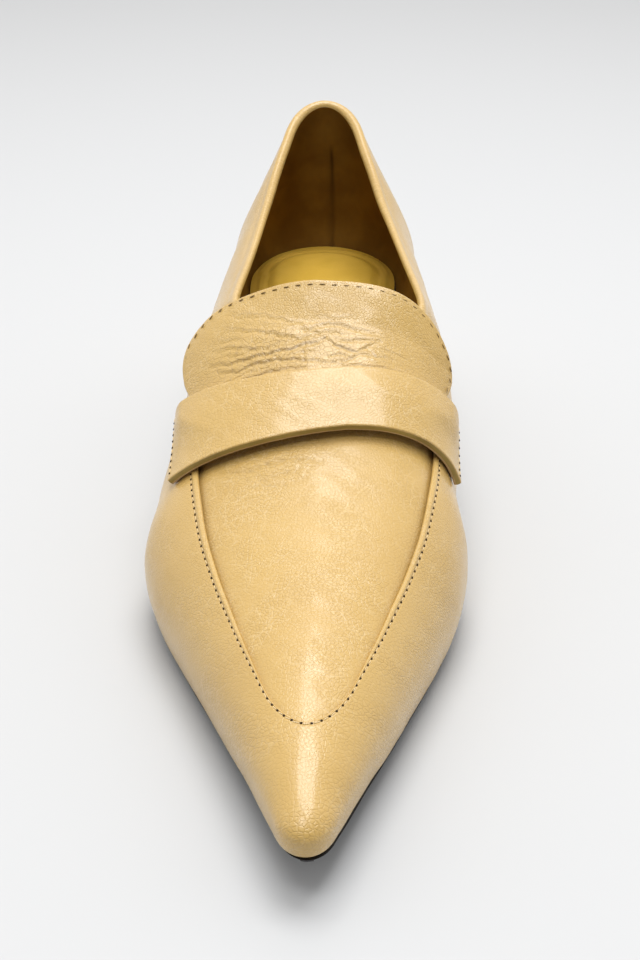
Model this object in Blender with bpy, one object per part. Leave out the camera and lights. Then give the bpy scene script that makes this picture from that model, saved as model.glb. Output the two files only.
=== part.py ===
"""Right-foot pointed loafer on a low heel: upper, tongue, saddle strap, insole, outsole, heel, top piece.

Sizes are in millimetres on the last and become metres when a mesh is made. A station is the distance
from the back of the heel towards the toe. Lateral, the outer side of the foot, is -X, medial is +X, the
toe points to -Y, and the floor is at Z = 0.
"""

import math

import bmesh
import bpy
from mathutils import Vector

MM = 0.001

# Driving dimensions of the last, for a foot about 240 mm long
LAST_LENGTH = 265.0
BALL_WIDTH = 82.0
HEEL_HEIGHT = 35.0
BACK_HEIGHT = 93.8
THROAT_STATION = 127.0
RIDGE_END_STATION = 257.0
FEATHER_INSET_BACK = 2.5
FEATHER_INSET_TOE = 1.0
TOPLINE_INSET_BACK = 4.5
FRAME_SHIFT_X = 2.0

# Thicknesses and clearances
WALL = 2.0
GAP = 0.3
SOLE_THICKNESS = 3.6
INSOLE_THICKNESS = 2.2
CUSHION_RISE = 1.2
TONGUE_THICKNESS = 1.8
STRAP_THICKNESS = 2.0
APRON_STEP = 0.8

# Radii of the rounded ends of the outlines, seen from above, and of the toe seen from the side
HEEL_RADIUS_FEATHER = 21.0
HEEL_RADIUS_BULGE = 23.0
HEEL_RADIUS_TOPLINE = 8.5
THROAT_RADIUS = 28.0
TOE_RADIUS_FEATHER = 4.2
TOE_RADIUS_BULGE = 4.5
TOE_RADIUS_RIDGE = 2.6

# Apron seam: where it starts under the strap, the bottom of its V and the radius there
APRON_BACK_STATION = 149.0
APRON_TIP_STATION = 240.5
APRON_TIP_RADIUS = 4.2

# Outsole and insole edges, measured out from the feather edge
SOLE_MARGIN_TOP = -0.4
SOLE_MARGIN_TREAD = -1.4
SOLE_TOE_BEVEL = 2.2
SOLE_TOE_SHIFT = 0.4
INSOLE_MARGIN = -2.6

# Tongue: stations of its top edge and of its end under the strap, how its top edge slants and its end
# bends back, and how far it spreads and flares
TONGUE_TOP_STATION = 115.2
TONGUE_END_STATION = 149.0
TONGUE_SLANT = 0.075
TONGUE_END_SWEEP = 9.4
TONGUE_FLARE = 2.8
TONGUE_HALF_WIDTH = 32.3

# Saddle strap: stations of its edges in the middle, its length, how far the ends of its edges lie behind
# and how the front edge slants, so that the lateral end is the wider one
STRAP_FRONT_STATION = 159.6
STRAP_BACK_STATION = 141.5
STRAP_MIDDLE = -0.2
STRAP_HALF_LENGTH = 35.6
STRAP_FRONT_SWEEP = 5.3
STRAP_BACK_SWEEP = 8.0
STRAP_SLANT = 0.0945

# Heel block and top piece
TOP_PIECE_HEIGHT = 5.0
HEEL_SEAT_HALF = 24.0
HEEL_SEAT_BACK = 3.6
HEEL_SEAT_FRONT = 55.0
HEEL_BASE_HALF = 13.5
HEEL_BASE_BACK = 7.5
HEEL_BASE_FRONT = 32.0


class Table:
    """Named columns against a station, read along a smooth curve that never overshoots its rows."""

    def __init__(self, columns, rows):
        self.stations = [row[0] for row in rows]
        self.columns = {name: [row[i + 1] for row in rows] for i, name in enumerate(columns)}

    def slope(self, values, i):
        """Slope of the curve at row i, zero at a turning point."""
        steps = []
        for k in (i - 1, i):
            if 0 <= k < len(values) - 1:
                steps.append((values[k + 1] - values[k]) / (self.stations[k + 1] - self.stations[k]))
        if len(steps) == 1:
            return steps[0]
        if steps[0] * steps[1] <= 0:
            return 0.0
        return 2 * steps[0] * steps[1] / (steps[0] + steps[1])

    def at(self, station, column):
        """Value of a column at a station."""
        values = self.columns[column]
        station = min(max(station, self.stations[0]), self.stations[-1])
        i = 0
        while i < len(values) - 2 and station > self.stations[i + 1]:
            i += 1
        width = self.stations[i + 1] - self.stations[i]
        s = (station - self.stations[i]) / width
        rise = values[i + 1] - values[i]
        first = self.slope(values, i) * width
        last = self.slope(values, i + 1) * width
        return values[i] + s * (first + s * (3 * rise - 2 * first - last + s * (first + last - 2 * rise)))


# Underside of the outsole: heel seat, shank, flat tread under the ball and toe spring
TREAD = Table(
    ("height",),
    [
        (0, HEEL_HEIGHT + 2.2),
        (22, HEEL_HEIGHT + 1.2),
        (45, HEEL_HEIGHT - 1.4),
        (70, HEEL_HEIGHT - 7.8),
        (95, HEEL_HEIGHT - 16.8),
        (120, HEEL_HEIGHT - 26.2),
        (142, HEEL_HEIGHT - 32.6),
        (159, 0.0),
        (191, 0.0),
        (208, 0.8),
        (228, 3.2),
        (248, 6.3),
        (265, 8.4),
    ],
)

# Half widths and sideways swing of the feather edge and of the widest line of the upper
SECTIONS = Table(
    ("feather_half", "feather_swing", "bulge_half", "bulge_swing", "bulge_rise", "fullness"),
    [
        (26, 24.8, 0.0, 27.9, 0.7, 12.0, 1.34),
        (48, 25.0, -0.6, 29.1, 0.3, 12.5, 1.8),
        (74, 25.0, -1.5, 32.6, 0.35, 13.0, 2.2),
        (100, 28.4, -2.0, 36.0, 0.3, 12.5, 2.3),
        (124, 32.8, -2.0, 38.4, -0.3, 12.0, 2.25),
        (148, 36.6, -2.5, 39.8, -2.4, 11.5, 2.2),
        (165, 0.5 * BALL_WIDTH - 2.0, -2.3, 0.5 * BALL_WIDTH + 0.2, -2.3, 11.0, 2.2),
        (180, 35.8, -1.6, 38.0, -1.6, 10.5, 2.15),
        (196, 29.8, -0.8, 31.7, -0.9, 9.6, 2.1),
        (212, 23.2, -0.3, 25.1, -0.4, 8.6, 2.1),
        (228, 17.2, 0.0, 18.5, 0.0, 7.5, 2.1),
        (244, 11.2, 0.1, 11.95, 0.1, 6.2, 2.0),
        (256, 6.8, 0.1, 7.3, 0.1, 5.2, 2.0),
        (265, 0.0, 0.1, 0.0, 0.1, 4.5, 2.0),
    ],
)

# Edge of the foot opening, from the back of the heel to the throat
TOPLINE = Table(
    ("half", "height"),
    [
        (TOPLINE_INSET_BACK, 0.0, BACK_HEIGHT),
        (12, 9.7, BACK_HEIGHT - 3.0),
        (25, 13.4, BACK_HEIGHT - 9.8),
        (40, 16.5, BACK_HEIGHT - 17.3),
        (55, 19.2, BACK_HEIGHT - 22.8),
        (70, 21.5, BACK_HEIGHT - 26.2),
        (85, 23.6, BACK_HEIGHT - 27.8),
        (97, 25.0, BACK_HEIGHT - 28.2),
        (106, 25.5, BACK_HEIGHT - 28.2),
        (114, 24.0, BACK_HEIGHT - 28.3),
        (120, 19.3, BACK_HEIGHT - 28.5),
        (124, 13.0, BACK_HEIGHT - 28.65),
        (THROAT_STATION, 0.0, BACK_HEIGHT - 28.8),
    ],
)

# Sideways place of the crest and of the foot opening's middle, medial over the instep
CREST_SWING = Table(
    ("x",),
    [
        (25, 0.0),
        (45, 0.6),
        (63, 1.5),
        (85, 2.2),
        (106, 2.7),
        (127, 4.8),
        (148, 8.0),
        (165, 7.5),
        (185, 5.0),
        (205, 2.8),
        (225, 1.0),
        (245, -0.1),
        (RIDGE_END_STATION, -0.2),
    ],
)

# Half width of the apron inside its V seam
APRON_WIDTH = Table(
    ("half",),
    [
        (APRON_BACK_STATION, 30.6),
        (165, 28.7),
        (180, 25.9),
        (195, 21.7),
        (210, 16.7),
        (225, 11.4),
        (235, 7.0),
    ],
)

# Height of the upper along its ridge, from the throat to the toe
RIDGE = Table(
    ("height",),
    [
        (THROAT_STATION, BACK_HEIGHT - 28.8),
        (140, 57.8),
        (160, 48.8),
        (180, 42.4),
        (200, 37.4),
        (220, 32.6),
        (239, 27.9),
        (250, 25.0),
        (RIDGE_END_STATION, 22.5),
    ],
)


class Outline:
    """Half width of a level of the last that is round at its ends, seen from above or from the side."""

    def __init__(self, start, end, start_radius, end_radius, rows):
        self.start = start
        self.length = end - start
        self.round_start = start_radius > 0
        shares = [(1.0, math.sqrt(2 * end_radius * self.length))]
        if self.round_start:
            shares.append((0.0, math.sqrt(2 * start_radius * self.length)))
        for station, half in rows:
            u = (station - start) / self.length
            if half > 0:
                shares.append((u, half / self.rounding(u)))
        self.shares = Table(("value",), sorted(shares))

    def rounding(self, u):
        """The round-ended share of the width at a position between the ends."""
        return math.sqrt(max((u if self.round_start else 1.0) * (1 - u), 0.0))

    def station(self, u):
        """Station at a position between the ends."""
        return self.start + u * self.length

    def half(self, u):
        """Half width at a position between the ends."""
        return self.rounding(u) * self.shares.at(u, "value")


def soft_step(value, low, high):
    """0 below low, 1 above high, smooth between."""
    s = min(max((value - low) / (high - low), 0.0), 1.0)
    return s * s * (3 - 2 * s)


def column(table, name):
    """Stations of a table with one of its columns."""
    return list(zip(table.stations, table.columns[name]))


def sole_top(station):
    """Height of the outsole's upper face."""
    return TREAD.at(station, "height") + SOLE_THICKNESS


def bulge_height(station):
    """Height of the widest line of the upper."""
    return sole_top(station) + GAP + SECTIONS.at(station, "bulge_rise")


FEATHER = Outline(
    FEATHER_INSET_BACK,
    LAST_LENGTH - FEATHER_INSET_TOE,
    HEEL_RADIUS_FEATHER,
    TOE_RADIUS_FEATHER,
    column(SECTIONS, "feather_half"),
)
BULGE = Outline(
    0.0, LAST_LENGTH, HEEL_RADIUS_BULGE, TOE_RADIUS_BULGE, column(SECTIONS, "bulge_half")
)
OPENING = Outline(
    TOPLINE_INSET_BACK, THROAT_STATION, HEEL_RADIUS_TOPLINE, THROAT_RADIUS, column(TOPLINE, "half")
)
CREST = Outline(
    THROAT_STATION,
    LAST_LENGTH,
    0.0,
    TOE_RADIUS_RIDGE,
    [(station, height - bulge_height(station)) for station, height in column(RIDGE, "height")],
)
APRON = Outline(
    APRON_BACK_STATION, APRON_TIP_STATION, 0.0, APRON_TIP_RADIUS, column(APRON_WIDTH, "half")
)
THROAT_U = THROAT_STATION / LAST_LENGTH
LATERAL, MEDIAL = -1, 1


def swing(station, name):
    """Sideways swing of a level, fading to none at the back of the heel."""
    return SECTIONS.at(station, name) * min(1.0, station / 26)


def crest_x(station):
    """Sideways place of the crest at a station."""
    return CREST_SWING.at(station, "x")


def feather_point(u, side):
    """Point where the upper meets the outsole."""
    station = FEATHER.station(u)
    x = swing(station, "feather_swing") + side * FEATHER.half(u)
    return Vector((x, station, sole_top(station) + GAP))


def bulge_point(u, side):
    """Point on the widest line of the upper."""
    station = BULGE.station(u)
    x = swing(station, "bulge_swing") + side * BULGE.half(u)
    return Vector((x, station, bulge_height(station)))


def top_point(u, side):
    """Point on the edge of the foot opening or, in front of the throat, on the ridge."""
    if u <= THROAT_U:
        v = u / THROAT_U
        station = OPENING.station(v)
        x = crest_x(station) + side * OPENING.half(v)
        return Vector((x, station, TOPLINE.at(station, "height")))
    v = (u - THROAT_U) / (1 - THROAT_U)
    station = THROAT_STATION + v * (RIDGE_END_STATION - THROAT_STATION)
    x = crest_x(station)
    return Vector((x, station, vamp_height(station, x)))


def vamp_height(station, x):
    """Height of the upper's outer face over a point of the plan, in front of the throat."""
    v = min(station / LAST_LENGTH, 1.0)
    crest = crest_x(station)
    edge = abs(bulge_point(v, MEDIAL if x > crest else LATERAL).x - crest)
    power = SECTIONS.at(station, "fullness")
    share = min(abs(x - crest) / max(edge, 0.001), 1.0)
    rise = CREST.half((station - CREST.start) / CREST.length)
    return bulge_height(station) + rise * (1 - share**power) ** (1 / power)


def edge_angle(u, side):
    """Angle round the arch at which the upper ends: 90 degrees at the ridge, less at the opening."""
    u = min(max(u, 0.004), 0.996)
    power = SECTIONS.at(BULGE.station(u), "fullness")
    top = top_point(u, side)
    crest = crest_x(top.y)
    share = abs(top.x - crest) / abs(bulge_point(u, side).x - crest)
    return math.acos(share ** (power / 2))


def arch_place(u, x):
    """Side of the crest, and angle round the arch, where a section passes a distance from the middle."""
    crest = crest_x(top_point(u, MEDIAL).y)
    side = MEDIAL if x > crest else LATERAL
    share = (x - crest) / (bulge_point(u, side).x - crest)
    power = SECTIONS.at(BULGE.station(u), "fullness")
    return side, math.acos(min(share, 1.0) ** (power / 2))


def crest_rise(u, side):
    """Height of a section's crest over its widest line, also where the foot opening cuts it off."""
    power = 2 / SECTIONS.at(BULGE.station(u), "fullness")
    rise = top_point(u, side).z - bulge_point(u, side).z
    return rise / math.sin(edge_angle(u, side)) ** power


def arch_point(u, side, angle):
    """Point of the last's surface, at an angle round the arch from the widest line to the ridge."""
    bulge = bulge_point(u, side)
    top = top_point(u, side)
    power = 2 / SECTIONS.at(BULGE.station(u), "fullness")
    last_angle = edge_angle(u, side)
    inward = 1 - max(math.cos(angle), 0.0) ** power
    reach = 1 - max(math.cos(last_angle), 0.0) ** power
    point = bulge.lerp(top, inward / reach)
    if u > THROAT_U:
        point.z = vamp_height(point.y, point.x)
    else:
        rise = crest_rise(u, side)
        middle = 0.5 * (crest_rise(u, LATERAL) + crest_rise(u, MEDIAL))
        rise += (middle - rise) * soft_step(angle, last_angle, 0.5 * math.pi + 0.001)
        point.z = bulge.z + rise * math.sin(angle) ** power
    return point


def upper_point(u, side, level):
    """Point of the upper's outer face: level -1 at the feather edge, 0 at the widest line, 1 at its top."""
    if level > 0:
        return arch_point(u, side, level * edge_angle(u, side))
    bulge = bulge_point(u, side)
    feather = feather_point(u, side)
    point = feather.lerp(bulge, 1 - level * level)
    point.z = feather.z + (bulge.z - feather.z) * (1 + level)
    return point


def lifted_point(u, side, angle, lift):
    """A point of the last's surface moved out along its normal."""
    along = arch_point(u + 0.002, side, angle) - arch_point(u - 0.002, side, angle)
    over = arch_point(u, side, min(angle + 0.02, 0.5 * math.pi))
    over = over - arch_point(u, side, angle - 0.02)
    normal = along.cross(over) * side
    return arch_point(u, side, angle) + normal.normalized() * lift


def lifted_plan_point(station, x, lift):
    """A point of the vamp over a point of the plan, moved out along its normal."""
    step = 0.2
    slope_x = (vamp_height(station, x + step) - vamp_height(station, x - step)) / (2 * step)
    slope_y = (vamp_height(station + step, x) - vamp_height(station - step, x)) / (2 * step)
    normal = Vector((-slope_x, -slope_y, 1.0)).normalized()
    return Vector((x, station, vamp_height(station, x))) + normal * lift


def to_world(point):
    """A point on the last, in millimetres, as metres in the part's frame."""
    return Vector((point.x + FRAME_SHIFT_X, 0.5 * LAST_LENGTH - point.y, point.z)) * MM


def column_positions():
    """Positions of the upper's sections between heel (0) and toe (1), close together at its ends."""
    rear, front = 20, 26
    throat = math.acos(1 - 2 * THROAT_U) / math.pi
    turns = [throat * i / rear for i in range(rear)]
    turns += [throat * (1 - 0.25 / rear)]
    turns += [throat + (1 - throat) * i / front for i in range(front + 1)]
    return [0.5 * (1 - math.cos(math.pi * turn)) for turn in turns]


def make_material(name, colour, roughness):
    """A plain material with one colour."""
    material = bpy.data.materials.new(name)
    material.use_nodes = True
    shader = material.node_tree.nodes["Principled BSDF"]
    shader.inputs["Base Color"].default_value = (*colour, 1.0)
    shader.inputs["Roughness"].default_value = roughness
    return material


def make_object(name, vertices, faces, material, parent, smooth_angle=35.0):
    """A named object from points on the last and faces, merged, facing out and shaded smooth."""
    mesh = bpy.data.meshes.new(name)
    mesh.from_pydata([to_world(p) for p in vertices], [], faces)
    work = bmesh.new()
    work.from_mesh(mesh)
    bmesh.ops.remove_doubles(work, verts=work.verts, dist=0.005 * MM)
    bmesh.ops.recalc_face_normals(work, faces=work.faces)
    work.to_mesh(mesh)
    work.free()
    if material:
        mesh.materials.append(material)
    mesh.shade_smooth()
    mesh.set_sharp_from_angle(angle=math.radians(smooth_angle))
    obj = bpy.data.objects.new(name, mesh)
    bpy.context.collection.objects.link(obj)
    obj.parent = parent
    return obj


def grid_faces(rows, columns, first=0, closed=False):
    """Quads of a grid of points stored row by row, closed round its columns if asked."""
    faces = []
    for r in range(rows - 1):
        for c in range(columns if closed else columns - 1):
            d = (c + 1) % columns
            a = first + r * columns
            b = a + columns
            faces.append((a + c, a + d, b + d, b + c))
    return faces


def make_plate(name, upper_rows, lower_rows, material, parent):
    """A closed plate between two grids of points with the same rows and columns."""
    rows, columns = len(upper_rows), len(upper_rows[0])
    vertices = [p for row in upper_rows for p in row] + [p for row in lower_rows for p in row]
    under = rows * columns
    faces = grid_faces(rows, columns)
    faces += [tuple(under + i for i in reversed(face)) for face in grid_faces(rows, columns)]
    rim = [c for c in range(columns)]
    rim += [r * columns + columns - 1 for r in range(1, rows)]
    rim += [(rows - 1) * columns + c for c in range(columns - 2, -1, -1)]
    rim += [r * columns for r in range(rows - 2, 0, -1)]
    for a, b in zip(rim, rim[1:] + rim[:1]):
        faces.append((b, a, under + a, under + b))
    return make_object(name, vertices, faces, material, parent)


def make_apron_cutter(parent):
    """The space over the apron, which lies a step lower than the vamp round it."""
    count, across = 16, 12
    floor_rows, roof_rows = [], []
    for i in range(count + 1):
        u = math.sin(0.5 * math.pi * i / count)
        station = APRON.station(u)
        half = max(APRON.half(u), 0.05)
        xs = [half * (2 * k / across - 1) for k in range(across + 1)]
        floor_rows.append([lifted_plan_point(station, x, -APRON_STEP) for x in xs])
        roof_rows.append([lifted_plan_point(station, x, 4.0) for x in xs])
    cutter = make_plate("apron_cutter", roof_rows, floor_rows, None, parent)
    cutter.hide_render = True
    cutter.display_type = "WIRE"
    return cutter


def make_upper(material, parent):
    """The vamp, apron and quarters as one wall, open at the collar and underneath."""
    levels = [-1, -0.62, -0.28, 0, 0.13, 0.26, 0.39, 0.52, 0.65, 0.77, 0.89, 1]
    positions = column_positions()
    loop = [(u, LATERAL) for u in reversed(positions)] + [(u, MEDIAL) for u in positions[1:-1]]
    vertices = [upper_point(u, side, level) for level in levels for u, side in loop]
    faces = grid_faces(len(levels), len(loop), closed=True)
    upper = make_object("upper", vertices, faces, material, parent)
    wall = upper.modifiers.new("wall", "SOLIDIFY")
    wall.thickness = WALL * MM
    wall.offset = -1
    wall.use_even_offset = True
    wall.use_rim = True
    step = upper.modifiers.new("apron_step", "BOOLEAN")
    step.operation = "DIFFERENCE"
    step.solver = "EXACT"
    step.object = make_apron_cutter(parent)
    return upper


def tongue_half(station):
    """Half width of the tongue, which narrows where the strap crosses it and under the strap."""
    return TONGUE_HALF_WIDTH - 1.1 * soft_step(station, 128, 137) - 3.5 * soft_step(station, 137, 146)


def tongue_lift(reach, station):
    """Height of the tongue's underside over the last: its wings stand off where no strap holds them."""
    flare = TONGUE_FLARE * (1.3 - 1.2 * soft_step(station, 117, 138))
    return 2 * GAP + flare * min(reach, 1.0) ** 2.2


def make_tongue(material, parent):
    """The flap over the instep: it starts under the strap and spreads over both quarters."""
    across, along = 20, 9
    upper_rows, lower_rows = [], []
    for i in range(across + 1):
        share = 2 * i / across - 1
        reach = abs(share)
        top = TONGUE_TOP_STATION + TONGUE_SLANT * TONGUE_HALF_WIDTH * share + 5.5 * reach**8
        end = TONGUE_END_STATION - TONGUE_END_SWEEP * reach**2.2
        upper_row, lower_row = [], []
        for k in range(along + 1):
            station = top + (end - top) * k / along
            lift = tongue_lift(reach, station)
            u = station / LAST_LENGTH
            side, angle = arch_place(u, tongue_half(station) * share)
            upper_row.append(lifted_point(u, side, angle, lift + TONGUE_THICKNESS))
            lower_row.append(lifted_point(u, side, angle, lift))
        upper_rows.append(upper_row)
        lower_rows.append(lower_row)
    return make_plate("tongue", upper_rows, lower_rows, material, parent)


def make_strap(material, parent):
    """The band across the instep, over the tongue, with its cut ends lying on the vamp."""
    across, along = 26, 6
    upper_rows, lower_rows = [], []
    for i in range(across + 1):
        share = math.sin(1.4 * (2 * i / across - 1)) / math.sin(1.4)
        x = STRAP_MIDDLE + STRAP_HALF_LENGTH * share
        reach = abs(share)
        front = STRAP_FRONT_STATION - STRAP_SLANT * x - STRAP_FRONT_SWEEP * reach**3.5
        back = STRAP_BACK_STATION - STRAP_BACK_SWEEP * reach**2.4
        upper_row, lower_row = [], []
        for k in range(along + 1):
            w = k / along
            station = front + (back - front) * w
            u = station / LAST_LENGTH
            side, angle = arch_place(u, x)
            over_tongue = tongue_lift(abs(x) / tongue_half(station), station) + TONGUE_THICKNESS
            over_tongue *= 0.4 + 0.6 * soft_step(w, 0.0, 0.6)
            held = soft_step(w, 0.1, 0.8)
            settled = soft_step(reach, 0.5 + 0.38 * held, 0.98 + 0.07 * held)
            lift = GAP + over_tongue * (1 - settled)
            upper_row.append(lifted_point(u, side, angle, lift + STRAP_THICKNESS))
            lower_row.append(lifted_point(u, side, angle, lift))
        upper_rows.append(upper_row)
        lower_rows.append(lower_row)
    return make_plate("saddle_strap", upper_rows, lower_rows, material, parent)


def outline_point(u, side, margin):
    """Point of the feather edge moved out sideways by a margin, seen from above."""
    before, after = max(u - 0.001, 0.0), min(u + 0.001, 1.0)
    if u < 0.001 or u > 0.999:
        normal = Vector((0.0, -1.0 if u < 0.5 else 1.0, 0.0))
    else:
        along = feather_point(after, side) - feather_point(before, side)
        normal = Vector((along.y, -along.x, 0.0)).normalized() * side
    return feather_point(u, side) + normal * margin


def sole_rows(positions, shares, margin, height):
    """Rows across the sole between its two edges, with margin and height given by functions."""
    rows = []
    for u in positions:
        station = FEATHER.station(u)
        left = outline_point(u, LATERAL, margin(station))
        right = outline_point(u, MEDIAL, margin(station))
        row = [left.lerp(right, share) for share in shares]
        for point, share in zip(row, shares):
            point.z = height(point.y, share)
        rows.append(row)
    return rows


def sole_positions(count):
    """Positions of the rows across the sole, close together at heel and toe."""
    return [0.5 * (1 - math.cos(math.pi * i / count)) for i in range(count + 1)]


def make_outsole(material, parent):
    """The thin sole, bevelled under the toe, where it sits a little to the medial side."""
    positions = sole_positions(38)
    shares = [0.0, 0.2, 0.4, 0.6, 0.8, 1.0]
    upper_rows = sole_rows(
        positions, shares, lambda t: SOLE_MARGIN_TOP, lambda t, share: sole_top(t)
    )
    lower_rows = sole_rows(
        positions,
        shares,
        lambda t: SOLE_MARGIN_TREAD - SOLE_TOE_BEVEL * soft_step(t, 215, 255),
        lambda t, share: TREAD.at(t, "height"),
    )
    for row in upper_rows + lower_rows:
        for point in row:
            point.x += SOLE_TOE_SHIFT * soft_step(point.y, 200, 255)
    return make_plate("outsole", upper_rows, lower_rows, material, parent)


def insole_top(station, share):
    """Height of the insole: flat at its edges, with a soft cushion under heel and waist."""
    inside = soft_step(min(share, 1 - share), 0.12, 0.17)
    window = soft_step(station, 12, 17) * (1 - soft_step(station, 112, 128))
    return sole_top(station) + GAP + INSOLE_THICKNESS + CUSHION_RISE * inside * window


def make_insole(material, parent):
    """The covered inner sole that closes the upper from below."""
    positions = sole_positions(34)
    shares = [0.0, 0.12, 0.17, 0.34, 0.5, 0.66, 0.83, 0.88, 1.0]
    upper_rows = sole_rows(positions, shares, lambda t: INSOLE_MARGIN, insole_top)
    lower_rows = sole_rows(
        positions, shares, lambda t: INSOLE_MARGIN, lambda t, share: sole_top(t) + GAP
    )
    return make_plate("insole", upper_rows, lower_rows, material, parent)


def heel_ring(h, count):
    """Plan of the heel block at a share of its height, 0 at its base and 1 at the seat."""
    half = HEEL_BASE_HALF + (HEEL_SEAT_HALF - HEEL_BASE_HALF) * h**1.9
    back = HEEL_BASE_BACK + (HEEL_SEAT_BACK - HEEL_BASE_BACK) * h**0.8
    front = HEEL_BASE_FRONT + (HEEL_SEAT_FRONT - HEEL_BASE_FRONT) * h**2.2
    ring = []
    for i in range(count):
        turn = 2 * math.pi * i / count
        c, s = math.cos(turn), math.sin(turn)
        power = 2 / 2.4
        x = half * math.copysign(abs(c) ** power, c)
        y = 0.5 * (back + front) + 0.5 * (front - back) * math.copysign(abs(s) ** power, s)
        ring.append((x, y))
    return ring


def make_block(name, rings, top_centre, material, parent):
    """A closed block from rings of points, lowest first, with a fan round a point on its top."""
    count = len(rings[0])
    vertices = [p for ring in rings for p in ring]
    faces = grid_faces(len(rings), count, closed=True)
    faces.append(tuple(reversed(range(count))))
    vertices.append(top_centre)
    first = (len(rings) - 1) * count
    for i in range(count):
        faces.append((first + i, first + (i + 1) % count, len(vertices) - 1))
    return make_object(name, vertices, faces, material, parent)


def make_heel(material, parent):
    """The covered block between the heel seat and the top piece."""
    base = TOP_PIECE_HEIGHT + GAP
    rings = []
    for h in (0.0, 0.18, 0.36, 0.54, 0.7, 0.84, 0.94, 1.0):
        ring = []
        for x, y in heel_ring(h, 32):
            seat = TREAD.at(y, "height") - GAP
            ring.append(Vector((x, y, base + (seat - base) * h)))
        rings.append(ring)
    middle = 0.5 * (HEEL_SEAT_BACK + HEEL_SEAT_FRONT)
    centre = Vector((0.0, middle, TREAD.at(middle, "height") - GAP))
    return make_block("heel", rings, centre, material, parent)


def make_top_piece(material, parent):
    """The wearing piece under the heel."""
    ring = heel_ring(0.0, 32)
    rings = [[Vector((x, y, z)) for x, y in ring] for z in (0.0, TOP_PIECE_HEIGHT)]
    centre = Vector((0.0, 0.5 * (HEEL_BASE_BACK + HEEL_BASE_FRONT), TOP_PIECE_HEIGHT))
    return make_block("top_piece", rings, centre, material, parent)


def clear_scene():
    """Remove whatever is in the scene."""
    for obj in list(bpy.data.objects):
        bpy.data.objects.remove(obj)


def main():
    """Build the shoe."""
    clear_scene()
    shoe = bpy.data.objects.new("shoe", None)
    bpy.context.collection.objects.link(shoe)
    leather = make_material("yellow_leather", (0.78, 0.58, 0.24), 0.42)
    lining = make_material("sock_leather", (0.62, 0.42, 0.08), 0.55)
    sole = make_material("dark_sole", (0.03, 0.022, 0.018), 0.5)
    rubber = make_material("heel_rubber", (0.02, 0.018, 0.016), 0.7)
    make_upper(leather, shoe)
    make_tongue(leather, shoe)
    make_strap(leather, shoe)
    make_insole(lining, shoe)
    make_outsole(sole, shoe)
    make_heel(leather, shoe)
    make_top_piece(rubber, shoe)


main()
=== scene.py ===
"""Looks of a right-foot pointed loafer on a low heel: leather, lining, seams, stitches, sole and studio.

Points on the last are in millimetres as (x, station, z). A station is the distance from the back of the
heel towards the toe. to_world turns such points into metres in the part's frame, where the toe points to
-Y, the medial side is +X and the floor is at Z = 0.
"""

from __future__ import annotations

import logging
import math
from dataclasses import dataclass
from enum import Enum
from typing import ClassVar, Sequence

import bmesh
import bpy
import numpy as np
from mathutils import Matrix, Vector

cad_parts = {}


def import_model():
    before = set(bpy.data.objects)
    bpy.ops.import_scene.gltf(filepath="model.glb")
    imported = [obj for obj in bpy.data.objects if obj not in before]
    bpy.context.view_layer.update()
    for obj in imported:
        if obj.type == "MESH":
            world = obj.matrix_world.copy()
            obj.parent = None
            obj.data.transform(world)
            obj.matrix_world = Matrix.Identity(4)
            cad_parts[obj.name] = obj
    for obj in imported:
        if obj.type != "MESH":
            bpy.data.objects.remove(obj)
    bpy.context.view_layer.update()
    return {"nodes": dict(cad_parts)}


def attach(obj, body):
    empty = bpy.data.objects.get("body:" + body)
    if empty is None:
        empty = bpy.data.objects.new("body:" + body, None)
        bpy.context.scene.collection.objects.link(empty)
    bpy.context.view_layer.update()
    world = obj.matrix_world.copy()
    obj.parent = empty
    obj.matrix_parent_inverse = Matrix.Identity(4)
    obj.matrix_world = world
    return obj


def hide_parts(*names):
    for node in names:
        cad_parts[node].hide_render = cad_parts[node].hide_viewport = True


LOG = logging.getLogger("loafer")
MM = 0.001
BODY = "root"
RIGHT_ANGLE = 0.5 * math.pi
Array = np.ndarray
Colour = tuple[float, float, float, float]
Span = tuple[float, float]
Socket = bpy.types.NodeSocket
Material = bpy.types.Material


class Slot(Enum):
    """Material slots of the record."""

    LEATHER = "yellow_leather"
    SOCK = "sock_leather"
    SOLE = "dark_sole"
    RUBBER = "heel_rubber"


class Side(Enum):
    """Sides of the foot, as the sign of x."""

    LATERAL = -1
    MEDIAL = 1


def soft_step(value: Array | float, low: Array | float, high: Array | float) -> Array:
    """0 below low, 1 above high and smooth between them.

    Args:
        value: Values to test.
        low: Where the step starts.
        high: Where the step ends.

    Returns:
        The step at each value.
    """
    s = np.clip((np.asarray(value, dtype=float) - low) / (high - low), 0.0, 1.0)
    return s * s * (3 - 2 * s)


def bump(value: Array | float, centre: float | Array, width: float) -> Array:
    """A round hump of height 1 at a centre."""
    return np.exp(-(((np.asarray(value, dtype=float) - centre) / width) ** 2))


def points(x: Array | float, station: Array | float, z: Array | float) -> Array:
    """Points on the last from their three coordinates."""
    return np.stack(np.broadcast_arrays(x, station, z), axis=-1).astype(float)


def unit(vectors: Array) -> Array:
    """Vectors with a length of 1."""
    return vectors / np.maximum(np.linalg.norm(vectors, axis=-1, keepdims=True), 1e-9)


def run_along(lines: Array) -> Array:
    """Distance of each point of a line, or of several lines, from its start."""
    steps = np.linalg.norm(np.diff(lines, axis=-2), axis=-1)
    return np.concatenate((np.zeros(steps.shape[:-1] + (1,)), np.cumsum(steps, axis=-1)), axis=-1)


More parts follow.
